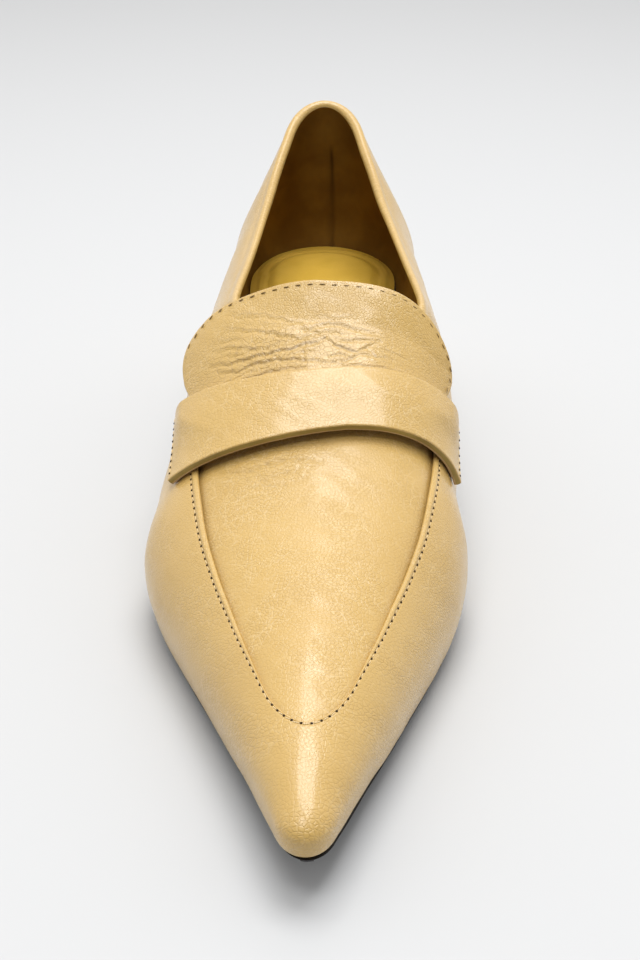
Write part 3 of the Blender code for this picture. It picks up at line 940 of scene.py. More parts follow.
@dataclass(frozen=True)
class GrainLeather:
    """Polished leather: a fine pebble grain, thin pale lines in patches and creases where it folds.

    The grain's grooves and the creases are darkened with painted shade; the pale lines are partly the
    leather's own fibres and partly painted glints. Lengths are in millimetres on the leather as it lies
    flat.
    A line run is a direction in radians and the gap between its lines.
    """

    name: str
    base: Colour = (0.612, 0.399, 0.118, 1.0)
    # deep is both the leather's own mottled darker tone and the colour of painted shade in the grain's
    # grooves.
    deep: Colour = (0.5, 0.303, 0.077, 1.0)
    # light is the pale line colour: partly the leather's own pale fibres, partly painted glints.
    light: Colour = (0.8, 0.61, 0.32, 1.0)
    # crease is painted shade laid into the fine fold lines where the mesh's wrinkle attribute is high.
    crease: Colour = (0.36, 0.2, 0.05, 1.0)
    # Colour of painted shade in seam grooves, under the vamp's edge and in creases.
    stain: Colour = (0.13, 0.065, 0.012, 1.0)
    pebble: float = 0.95
    line_runs: tuple[tuple[float, float], ...] = ((0.55, 2.6), (-0.65, 2.08), (1.5, 1.82))
    line_width: float = 0.15
    line_stretch: float = 2.8
    fold: float = 1.25
    fold_stretch: float = 2.0
    patch: float = 13.0
    grain: float = 0.75
    grain_height: float = 0.1
    lines: float = 0.24
    # creases is the strength of that painted crease shade.
    creases: float = 0.36
    roughness: float = 0.36
    gloss_spread: float = 0.05
    shine: float = 0.6
    coat: float = 0.4
    coat_roughness: float = 0.14

    def fibres(self, nodes: Nodes, turn: float, gap: float) -> Socket:
        """Long thin lines near one direction, 1 on a line and 0 beside it.

        Args:
            nodes: Nodes of the material.
            turn: Direction in radians.
            gap: Distance between lines.

        Returns:
            The value.
        """
        place = nodes.warped(nodes.hide_place(turn, self.line_stretch), 0.14, 2.2)
        net = nodes.ramp(nodes.cells(place, gap), 0.0, self.line_width / gap, 1.0, 0.0)
        broken = nodes.ramp(nodes.noise(nodes.hide_place(turn), 0.22, 1.0), 0.38, 0.6)
        return nodes.math("MULTIPLY", net, broken)

    def all_fibres(self, nodes: Nodes, patch: Socket) -> Socket:
        """Lines in every direction, stronger in patches.

        Args:
            nodes: Nodes of the material.
            patch: Where the patches are.

        Returns:
            How much of the pale line colour shows; the pale lines are partly the leather's own fibres and
            partly painted glints.
        """
        thin: object = 0.0
        for turn, gap in self.line_runs:
            thin = nodes.math("MAXIMUM", thin, self.fibres(nodes, turn, gap))
        return nodes.math("MULTIPLY", thin, nodes.ramp(patch, 0.0, 1.0, 0.3 * self.lines, self.lines))

    def material(self) -> Material:
        """Build the material.

        Returns:
            The material, which reads the attributes flat_x, flat_y and wrinkle of its mesh, and the
            attribute that paints shade into seam grooves, under the vamp's edge and into creases.
        """
        nodes = Nodes(self.name)
        place = nodes.hide_place()
        patch = nodes.ramp(nodes.noise(place, 1.0 / self.patch, 2.0), 0.3, 0.65)
        lines = self.all_fibres(nodes, patch)
        pebbles = nodes.ramp(nodes.cells(nodes.warped(place, 0.5, 0.7), self.pebble), 0.0, 0.22)
        across = nodes.warped(nodes.hide_place(RIGHT_ANGLE, self.fold_stretch), 0.3, 0.9)
        folds = nodes.ramp(nodes.cells(across, self.fold), 0.0, 0.13, 1.0, 0.0)
        creased = nodes.math("MULTIPLY", folds, nodes.attribute("wrinkle"))
        mottling = nodes.ramp(nodes.noise(place, 0.03, 4.0), 0.25, 0.75, 0.0, 0.3)
        # Painted shade: the grain's grooves are darkened towards deep, more in patches.
        painted_groove_shade = nodes.math("SUBTRACT", 1.0, pebbles)
        painted_groove_shade = nodes.math("MULTIPLY", painted_groove_shade, nodes.ramp(patch, 0.0, 1.0, 0.2, 0.45))
        tone = nodes.blend(mottling, self.base, self.deep)
        tone = nodes.blend(painted_groove_shade, tone, self.deep)
        # Pale lines: partly the leather's own fibres, partly painted glints.
        tone = nodes.blend(lines, tone, self.light)
        # Painted shade in the fine fold lines, where the wrinkle attribute is high.
        tone = nodes.blend(nodes.math("MULTIPLY", creased, self.creases), tone, self.crease)
        # Painted shade from the mesh attribute: seam grooves, the plug's edge under the vamp, creases.
        tone = nodes.blend(nodes.attribute("stain"), tone, self.stain)
        height = nodes.math("MULTIPLY", pebbles, nodes.ramp(patch, 0.0, 1.0, 0.45, 0.8))
        height = nodes.math("ADD", height, nodes.math("MULTIPLY", nodes.noise(place, 2.6, 2.0), 0.4))
        height = nodes.math("SUBTRACT", height, nodes.math("MULTIPLY", lines, 0.8))
        height = nodes.math("SUBTRACT", height, nodes.math("MULTIPLY", creased, 1.2))
        nodes.relief(height, self.grain, self.grain_height * MM)
        low = self.roughness - self.gloss_spread
        gloss = nodes.ramp(nodes.noise(place, 0.06, 3.0), 0.3, 0.7, low, self.roughness + self.gloss_spread)
        return nodes.surface(Base_Color=tone, Roughness=gloss, Specular_IOR_Level=self.shine,
                             Coat_Weight=self.coat, Coat_Roughness=self.coat_roughness)


@dataclass(frozen=True)
class PlainLeather:
    """Smooth leather with fine pores, for lining, sock and cut edges."""

    name: str
    base: Colour
    deep: Colour
    roughness: float = 0.5
    pore_scale: float = 1800.0
    bump: float = 0.25
    shine: float = 0.5
    # Colour laid along the lining's back seam, which is darker there.
    stain: Colour = (0.03, 0.012, 0.002, 1.0)

    def material(self) -> Material:
        """Build the material.

        Returns:
            The material.
        """
        nodes = Nodes(self.name)
        place = nodes.place()
        tone = nodes.blend(nodes.ramp(nodes.noise(place, 90.0, 4.0), 0.3, 0.7), self.deep, self.base)
        # Darker where the mesh attribute asks: along the lining's back seam.
        tone = nodes.blend(nodes.attribute("stain"), tone, self.stain)
        pores = nodes.noise(place, self.pore_scale, 3.0)
        nodes.relief(pores, self.bump, 0.12 * MM)
        gloss = nodes.ramp(pores, 0.3, 0.7, self.roughness - 0.05, self.roughness + 0.08)
        return nodes.surface(Base_Color=tone, Roughness=gloss, Specular_IOR_Level=self.shine)


@dataclass(frozen=True)
class SoleFinish:
    """Dark sole or heel rubber with a fine moulded grain."""

    name: str
    base: Colour
    deep: Colour
    roughness: float = 0.5

    def material(self) -> Material:
        """Build the material.

        Returns:
            The material.
        """
        nodes = Nodes(self.name)
        place = nodes.place()
        tone = nodes.blend(nodes.noise(place, 140.0, 4.0), self.deep, self.base)
        grain = nodes.math("ADD", nodes.noise(place, 1500.0, 3.0), nodes.noise(place, 420.0, 2.0))
        nodes.relief(grain, 0.3, 0.1 * MM)
        gloss = nodes.ramp(grain, 0.6, 1.4, self.roughness - 0.07, self.roughness + 0.1)
        return nodes.surface(Base_Color=tone, Roughness=gloss)


@dataclass(frozen=True)
class ThreadFinish:
    """Twisted sewing thread, or the painted shade of a needle hole."""

    name: str
    base: Colour
    deep: Colour
    roughness: float = 0.6

    def material(self) -> Material:
        """Build the material.

        Returns:
            The material.
        """
        nodes = Nodes(self.name)
        place = nodes.place()
        twist = nodes.add("ShaderNodeTexWave", {"Vector": place, "Scale": 900.0, "Distortion": 2.0})
        tone = nodes.blend(twist.outputs[1], self.deep, self.base)
        nodes.relief(twist.outputs[1], 0.3, 0.05 * MM)
        return nodes.surface(Base_Color=tone, Roughness=self.roughness)


@dataclass(frozen=True)
class FloorFinish:
    """Plain pale studio floor."""

    name: str = "studio_floor"
    base: Colour = (0.58, 0.588, 0.597, 1.0)
    roughness: float = 0.9

    def material(self) -> Material:
        """Build the material."""
        return Nodes(self.name).surface(Base_Color=self.base, Roughness=self.roughness)


class Finishes:
    """Every material of the shoe."""

    def __init__(self) -> None:
        """Build them."""
        self.leather = GrainLeather("grain_leather").material()
        self.plug = GrainLeather("plug_leather", lines=0.36).material()
        self.strap = GrainLeather("strap_leather", lines=0.36).material()
        self.tongue = GrainLeather("tongue_leather", lines=0.34).material()
        # The lining's dark brown is partly its own darker tone and partly painted shade of the shoe's
        # inside.
        self.lining = PlainLeather(
            "lining_leather", (0.26, 0.13, 0.016, 1.0), (0.19, 0.088, 0.01, 1.0), 0.65, shine=0.15
        ).material()
        self.sock = PlainLeather(
            "sock_cover", (0.76, 0.48, 0.066, 1.0), (0.68, 0.42, 0.046, 1.0), 0.42
        ).material()
        self.edge = PlainLeather(
            "cut_edge", (0.4, 0.29, 0.075, 1.0), (0.28, 0.195, 0.045, 1.0), 0.55, 900.0, 0.6
        ).material()
        self.backing = PlainLeather(
            "strap_backing", (0.56, 0.40, 0.20, 1.0), (0.46, 0.31, 0.14, 1.0), 0.65, 900.0, 0.5
        ).material()
        self.thread = ThreadFinish(
            "sewing_thread", (0.80, 0.62, 0.34, 1.0), (0.62, 0.44, 0.2, 1.0)
        ).material()
        self.dark_thread = ThreadFinish(
            "dark_thread", (0.26, 0.16, 0.045, 1.0), (0.17, 0.1, 0.025, 1.0)
        ).material()
        # Dark blobs on the leather stand in for the shade inside the needle holes.
        self.hole_shade = ThreadFinish(
            "needle_hole_shade", (0.045, 0.022, 0.005, 1.0), (0.026, 0.012, 0.003, 1.0), 0.95
        ).material()
        self.sole = SoleFinish(
            "sole_edge", (0.009, 0.006, 0.006, 1.0), (0.005, 0.0035, 0.0035, 1.0), 0.7
        ).material()
        self.rubber = SoleFinish(
            "heel_wear_rubber", (0.02, 0.018, 0.016, 1.0), (0.012, 0.011, 0.01, 1.0), 0.65
        ).material()


def join_frame(piece: bpy.types.Object, slot: Slot, *nodes: str) -> bpy.types.Object:
    """Let a piece ride on the shoe and stand for nodes of the part.

    Args:
        piece: The finished piece.
        slot: Material slot of the record; not used.
        *nodes: Nodes that it replaces, if any.

    Returns:
        The piece.
    """
    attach(piece, BODY)
    if nodes:
        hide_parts(*nodes)
    LOG.info("%s: %d faces", piece.name, len(piece.data.polygons))
    return piece


@dataclass
class SubAssembly:
    """Pieces that belong together: the last that they follow and the materials of the shoe."""

    last: Last
    finishes: Finishes


@dataclass
class SeamPath:
    """A line on the leather that stitches follow, with the normals there."""

    line: Array
    normal: Array


@dataclass
class WallLines:
    """Lines down the wall of the upper, from its edge to the feather edge.

    Attributes:
        path: Points as columns by samples by 3.
    """

    path: Array
    normal_step: ClassVar[float] = 0.35

    def __post_init__(self) -> None:
        """Measure the lines."""
        self.run = run_along(self.path)
        self.length = self.run[:, -1][None, :]

    def sample(self, distance: Array) -> Array:
        """Points at distances from the edge.

        Args:
            distance: Wanted distances, as rows by columns.

        Returns:
            Points as rows by columns by 3.
        """
        result = np.empty(distance.shape + (3,))
        for c, line in enumerate(self.path):
            for axis in range(3):
                result[:, c, axis] = np.interp(distance[:, c], self.run[c], line[:, axis])
        return result

    def beside(self, share: Array, shift: int) -> Array:
        """Points of the lines beside these, at shares of their length."""
        other = WallLines(np.roll(self.path, shift, 0))
        return other.sample(share * other.length)

    def normals(self, distance: Array) -> Array:
        """Outward normals at distances from the edge.

        Args:
            distance: Wanted distances, as rows by columns.

        Returns:
            Normals as rows by columns by 3.
        """
        step = self.normal_step
        inner = np.clip(distance - step, 0.0, self.length - 2 * step)
        down = self.sample(inner + 2 * step) - self.sample(inner)
        share = np.clip(distance / self.length, 0.0, 1.0)
        return unit(np.cross(down, self.beside(share, -1) - self.beside(share, 1)))


@dataclass
class Upper(SubAssembly):
    """Vamp and quarters, the apron plug inside its V seam, and the lining."""

    wall: float = 2.0
    leather: float = 1.15
    columns_per_side: int = 230
    apron_back: float = 149.0
    apron_tip: float = 240.5
    apron_tip_radius: float = 4.2
    apron_step: float = 0.8
    apron_margin: float = 2.4
    plug_thickness: float = 1.0
    collar_end_share: float = 0.88
    collar_nose: float = 1.0
    back_padding: float = 0.5
    padding_span: Span = (25.0, 70.0)
    seam_nose: float = 0.4
    seam_ridge: float = 0.36
    seam_ridge_width: float = 0.72
    ridge_place: float = 0.48
    ridge_span: Span = (149.0, 155.0)
    ridge_fade: Span = (185.0, 236.0)
    ridge_loss: float = 0.85
    stitch_inset: float = 2.2
    stitch_close: float = 1.45
    stitch_close_span: Span = (205.0, 240.0)
    stitch_start: float = 151.0
    stitch_lift: float = 0.04
    stitch_groove: float = 0.2
    stitch_groove_width: float = 0.36
    collar_roll: float = 0.14
    collar_roll_place: Span = (1.3, 1.0)
    collar_groove: float = 0.1
    collar_groove_place: Span = (3.6, 0.9)
    unevenness: float = 0.1
    wave_length: float = 34.0
    smooth_rim: Span = (3.0, 12.0)
    plug_wave_length: float = 26.0
    plug_groove: float = 0.3
    plug_groove_width: float = 1.5
    plug_groove_fade: Span = (165.0, 215.0)
    plug_tip_rise: float = 0.38
    plug_tip_span: Span = (195.0, 240.0)
    lining_wave: float = 0.12
    lining_wave_length: float = 22.0
    sole_tuck: float = 0.55
    sole_tuck_height: float = 1.6
    fold_depth: float = 1.6
    fold_taper: float = 0.8
    lining_depth: float = 1.3
    plug_creases: tuple[Crease, ...] = (
        Crease(0.2, 0.5, ((162.5, -25), (165.0, -16), (163.0, -7), (164.8, 2))),
        Crease(0.18, 0.45, ((166.5, -21), (168.6, -12), (167.0, -4))),
        Crease(0.12, 0.45, ((170.0, -17), (171.8, -9), (169.8, -2))),
        Crease(0.12, 0.4, ((162.0, -13), (167.5, -10))),
        Crease(0.1, 0.4, ((164.0, -3), (170.0, -5))),
    )

    def __post_init__(self) -> None:
        """Place the columns of the outer wall between heel and toe."""
        turn = np.linspace(0.0, 1.0, self.columns_per_side + 1)
        u = 0.5 * (1 - np.cos(np.pi * turn))
        self.u = np.concatenate((u[::-1], u[1:-1]))
        self.side = np.concatenate((-np.ones(len(u)), np.ones(len(u) - 2)))
        widths = Table(
            ("half",),
            [
                (self.apron_back, 30.6), (165, 28.7), (180, 25.9), (195, 21.7), (210, 16.7), (225, 11.4),
                (235, 7.0),
            ],
        )
        self.apron = Outline(self.apron_back, self.apron_tip, 0.0, self.apron_tip_radius, widths, "half")
        self.collar_u = self.collar_end_share * self.last.throat_u
        self.seam_u = self.apron_back / self.last.length
        self.seam_weight = soft_step(self.u, self.collar_u, self.seam_u)

    def apron_width(self, station: Array) -> Array:
        """Half width of the apron inside its V seam."""
        s = np.clip((station - self.apron_back) / (self.apron_tip - self.apron_back), 0.0, 1.0)
        return self.apron.half(s)

    def seam_line(self, count: int = 400) -> Array:
        """Stations and half widths along the V seam, from the strap to its tip.

        Args:
            count: Number of points.

        Returns:
            A station and a half width for each.
        """
        turn = np.linspace(0.0, RIGHT_ANGLE, count)
        station = self.apron_back + (self.apron_tip - self.apron_back) * np.sin(turn)
        return np.stack((station, self.apron_width(station)), axis=-1)

    def edge_targets(self) -> Array:
        """Plan points, as x and station, where each column of the outer wall ends.

        Returns:
            A point for each column: on the collar, under the tongue, or on the V seam.
        """
        fine_u = np.linspace(self.seam_u, 1.0, 600)
        length = run_along(self.last.bulge(fine_u, np.ones(600))[:, :2])
        share = np.interp(self.u, fine_u, length / length[-1])
        seam = self.seam_line()
        run = run_along(seam)
        run /= run[-1]
        front = np.stack((np.interp(share, run, seam[:, 1]), np.interp(share, run, seam[:, 0])), axis=-1)
        front[:, 0] *= self.side
        collar = self.last.top(np.minimum(self.u, self.collar_u), self.side)[:, :2]
        hidden = np.clip((self.u - self.collar_u) / (self.seam_u - self.collar_u), 0.0, 1.0)[:, None]
        start = np.stack((self.side * seam[0, 1], np.full(len(self.u), seam[0, 0])), axis=-1)
        return np.where(self.u[:, None] >= self.seam_u, front, collar + (start - collar) * hidden)

    def lines(self) -> WallLines:
        """Fine lines on the outer face.

        Returns:
            The lines.
        """
        u = self.u[:, None]
        side = self.side[:, None]
        low = self.last.wall(u, side, np.linspace(-1.0, 0.0, 25)[None, :-1])
        s = np.linspace(0.0, 1.0, 180)[None, :]
        collar = self.last.arch(u, side, s * self.last.edge_angle(u, side))
        start = self.last.bulge(u, side)
        target = self.edge_targets()
        x = start[..., 0] + (target[:, :1] - start[..., 0]) * s**2
        station = start[..., 1] + (target[:, 1:] - start[..., 1]) * s**2
        vamp = points(x, station, self.last.height(station, x))
        high = np.where((u <= self.collar_u)[..., None], collar, vamp)
        return WallLines(np.concatenate((low, high), axis=1)[:, ::-1])

    def ridge_share(self, station: Array) -> Array:
        """Share of the seam's raised edge: none under the strap, little at the bottom of the V."""
        loss = self.ridge_loss * soft_step(station, *self.ridge_fade)
        return soft_step(station, *self.ridge_span) * (1 - loss)

    def stitch_distance(self) -> Array:
        """Distance of the stitch row from the seam edge at each column; it closes in at the V's bottom."""
        station = self.edge_targets()[:, 1]
        return self.stitch_inset - self.stitch_close * soft_step(station, *self.stitch_close_span)

    def relief(self, point: Array, distance: Array) -> Array:
        """Height of the leather over the last: raised seam edge, stitch groove and slow unevenness.

        Args:
            point: Points of the outer face, as rows by columns by 3.
            distance: Their distances from the edge.

        Returns:
            The height at each point.
        """
        weight = self.seam_weight[None, :]
        share = self.ridge_share(self.edge_targets()[:, 1])[None, :] * weight
        groove = self.stitch_distance()[None, :]
        seam = self.seam_ridge * share * bump(distance, self.ridge_place * groove, self.seam_ridge_width)
        seam = seam - self.stitch_groove * weight * bump(distance, groove, self.stitch_groove_width)
        collar = self.collar_roll * bump(distance, *self.collar_roll_place)
        collar = collar - self.collar_groove * bump(distance, *self.collar_groove_place)
        slow = self.unevenness * undulation(point, self.wave_length) * soft_step(distance, *self.smooth_rim)
        return seam + collar * (1 - weight) + slow

    def build_outer(self) -> tuple[bpy.types.Object, SeamPath]:
        """Make the vamp and quarters as one closed shell with rolled edges.

        Returns:
            The piece, and the line of the V seam's stitches.
        """
        lines = self.lines()
        path, length = lines.path, lines.length
        nose = (self.collar_nose + (self.seam_nose - self.collar_nose) * self.seam_weight)[None, :]
        nose = nose * (1 + self.back_padding * (1 - soft_step(path[:, 0, 1], *self.padding_span)))[None, :]
        near = np.array([0, 0.2, 0.4, 0.6, 0.8, 1.0, 1.25, 1.5, 1.75, 2.0, 2.3, 2.7, 3.2, 4.0, 5.0, 6.5])
        far = np.linspace(0.0, 1.0, 72)[1:, None]
        start = nose + near[-1]
        outer = np.concatenate((nose + near[:, None], start + (length - start) * far))[::-1]
        turn = np.linspace(0.0, math.pi, 9)[1:-1, None]
        bend = nose * (1 - np.sin(turn))
        inner_far = np.linspace(0.0, 1.0, 18)[:, None]
        inner = nose + np.array([0.0, 1.0, 2.0, 2.6, 3.2])[:, None]
        inner = np.concatenate((inner, inner[-1:] + 1.0 + (length - inner[-1:] - 1.0) * inner_far))
        distance = np.concatenate((outer, bend, inner))
        base = lines.sample(distance)
        normal = lines.normals(distance)
        height_out = self.relief(base[: len(outer)], outer)
        tuck = length - outer
        height_out = height_out - self.sole_tuck * np.clip(1 - tuck / self.sole_tuck_height, 0.0, 1.0) ** 2
        edge_height = height_out[-1:]
        height_bend = nose * (np.cos(turn) - 1) + edge_height * 0.5 * (1 + np.cos(turn))
        rim = np.broadcast_to(2 * nose, inner.shape)
        thin = soft_step(inner, self.fold_depth, self.fold_depth + self.fold_taper)
        height_in = -(rim + (self.leather - rim) * thin)
        grid = base + normal * np.concatenate((height_out, height_bend, height_in))[..., None]
        station = grid[..., 1]
        wrinkle = 0.25 * soft_step(grid[..., 2], 35, 60) * (1 - soft_step(station, 90, 150)) + 0.06
        groove = self.stitch_distance()[None, :]
        # Painted shade along the stitch groove of the V seam.
        stain = 0.18 * bump(distance, groove, 0.3) * self.seam_weight[None, :]
        stain = np.where(np.arange(len(distance))[:, None] < len(outer), stain, 0.0)
        mesh = ShellMesh()
        outward = unit(path[:, -1, :2] - path[:, 0, :2])
        flat = path[None, :, 0, :2] + outward[None] * distance[..., None]
        mesh.add_grid(
            grid, True, True, wrinkle=wrinkle, stain=stain, flat_x=flat[..., 0], flat_y=flat[..., 1]
        )
        piece = mesh.to_object("vamp_and_quarters", self.last, [self.finishes.leather])
        return piece, self.seam_path(lines)

    def seam_path(self, lines: WallLines) -> SeamPath:
        """Line of the V seam's stitches, from one end of the strap round the toe to the other.

        Args:
            lines: Lines on the outer face.

        Returns:
            The line and its normals.
        """
        distance = self.stitch_distance()[None, :]
        base = lines.sample(distance)
        normal = lines.normals(distance)
        line = base + normal * (self.relief(base, distance) + self.stitch_lift)[..., None]
        front = self.edge_targets()[:, 1] > self.stitch_start
        lateral = np.flatnonzero(front & (self.side < 0))
        medial = np.flatnonzero(front & (self.side > 0))
        order = np.concatenate((medial, lateral))
        return SeamPath(line[0, order], normal[0, order])

    def build_plug(self) -> bpy.types.Object:
        """Make the apron plug, which runs under the edge of the vamp and back to the throat.

        Returns:
            The piece.
        """
        across = np.linspace(-1.0, 1.0, 161)[None, :]
        along = np.sin(RIGHT_ANGLE * np.linspace(0.0, 1.0, 171)[:, None])
        lateral, medial = self.last.top(np.full(2, self.collar_u), np.array((-1.0, 1.0)))
        tip = self.apron_tip + self.apron_margin
        nominal = medial[1] + (tip - medial[1]) * along
        s = np.clip((nominal - self.apron_back) / (tip - self.apron_back), 0.0, 1.0)
        front = self.apron.half(s) + self.apron_margin * np.sqrt(1 - s)
        hidden = np.clip((nominal - medial[1]) / (self.apron_back - medial[1]), 0.0, 1.0)
        wide = float(self.apron.half(0.0)) + self.apron_margin
        left = np.where(nominal < self.apron_back, lateral[0] + (-wide - lateral[0]) * hidden, -front)
        right = np.where(nominal < self.apron_back, medial[0] + (wide - medial[0]) * hidden, front)
        x = left + (right - left) * 0.5 * (across + 1)
        back = np.interp(np.abs(across) * 0.5 * (medial[0] - lateral[0]), *self.throat_edge())
        station = back + (tip - back) * along
        base = points(x, station, self.last.height(station, x))
        normal = self.last.plan_normals(station, x)
        inside = (self.apron_width(station) - np.abs(x)) * 0.82
        depth = self.apron_step - self.plug_tip_rise * soft_step(station, *self.plug_tip_span)
        groove = self.plug_groove * bump(inside, 0.0, self.plug_groove_width)
        groove = groove * (1 - soft_step(station, *self.plug_groove_fade))
        creases = relief_of(self.plug_creases, station, x)
        slow = self.unevenness * undulation(base, self.plug_wave_length)
        top = creases + slow - depth - groove
        thickness = self.plug_thickness * np.sqrt(np.clip(1 - np.abs(across) ** 40, 0.0, 1.0))
        half_thick = 0.5 * thickness * np.clip(np.sin(np.pi * np.clip(along, 0.0, 1.0)) * 60, 0.0, 1.0)
        middle = base + normal * (top - 0.5 * self.plug_thickness)[..., None]
        wrinkle = 0.1 + 0.7 * (1 - soft_step(station, 144.0, 178.0)) * bump(x, -10.0, 16.0)
        wrinkle = np.clip(wrinkle + 0.3 * bump(station, 165.0, 8.0) * bump(x, -10.0, 16.0), 0.0, 1.0)
        # Painted shade at the plug's edge under the vamp, and in the plug's creases.
        stain = 0.5 * bump(inside, -0.2, 0.8) * (1 - 0.75 * soft_step(station, 160.0, 232.0))
        stain = np.clip(stain - 1.2 * np.minimum(creases, 0.0), 0.0, 0.6)
        only = np.zeros(1, dtype=int)
        mesh = ShellMesh()
        add_plate(mesh, middle, normal, half_thick, (only, only), wrinkle=wrinkle, stain=stain, flat_x=x,
                  flat_y=station)
        return mesh.to_object("apron_plug", self.last, [self.finishes.plug])

    def throat_edge(self) -> tuple[Array, Array]:
        """Half widths of the opening near the throat, rising, and the stations where it has them."""
        v = np.linspace(1.0, self.collar_end_share, 60)
        return self.last.opening.half(v), self.last.opening.station(v)

    def build_lining(self) -> bpy.types.Object:
        """Make the lining inside the wall, with its seam up the back.

        Returns:
            The piece.
        """
        u = self.u[::2][:, None]
        side = self.side[::2][:, None]
        low = self.last.wall(u, side, np.linspace(-1.0, 0.0, 13)[None, :-1])
        s = np.linspace(0.0, 1.0, 90)[None, :]
        high = self.last.arch(u, side, s * self.last.edge_angle(u, side))
        lines = WallLines(np.concatenate((low, high), axis=1)[:, ::-1])
        start = (self.fold_depth - 0.4) * (1 - soft_step(u[:, 0], self.collar_u, self.last.throat_u))
        share = np.linspace(0.0, 1.0, 64)[:, None]
        distance = start[None, :] + (lines.length - start[None, :]) * share
        base = lines.sample(distance)
        normal = lines.normals(distance)
        seam = bump(base[..., 0], 2.4, 0.7) * (1 - soft_step(base[..., 1], 8.0, 14.0))
        seam = seam * (1 - soft_step(base[..., 2], 74.0, 80.0))
        depth = self.lining_depth - 0.5 * seam + self.lining_wave * undulation(base, self.lining_wave_length)
        ridge = soft_step(np.abs(base[..., 0] - self.last.crest_x(base[..., 1])), 0.0, 1.2)
        normal = np.where((u[:, 0] > self.last.throat_u)[None, :, None] & (ridge < 1)[..., None],
                          unit(normal * np.array((0.0, 1.0, 1.0)) * (1 - ridge[..., None])
                               + normal * ridge[..., None]), normal)
        mesh = ShellMesh()
        # The lining is darker along its back seam.
        mesh.add_grid(base - normal * depth[..., None], False, True, stain=0.75 * seam)
        piece = mesh.to_object("lining", self.last, [self.finishes.lining])
        thick = piece.modifiers.new("thickness", "SOLIDIFY")
        thick.thickness = (self.wall - self.lining_depth) * MM
        thick.offset = -1
        return piece


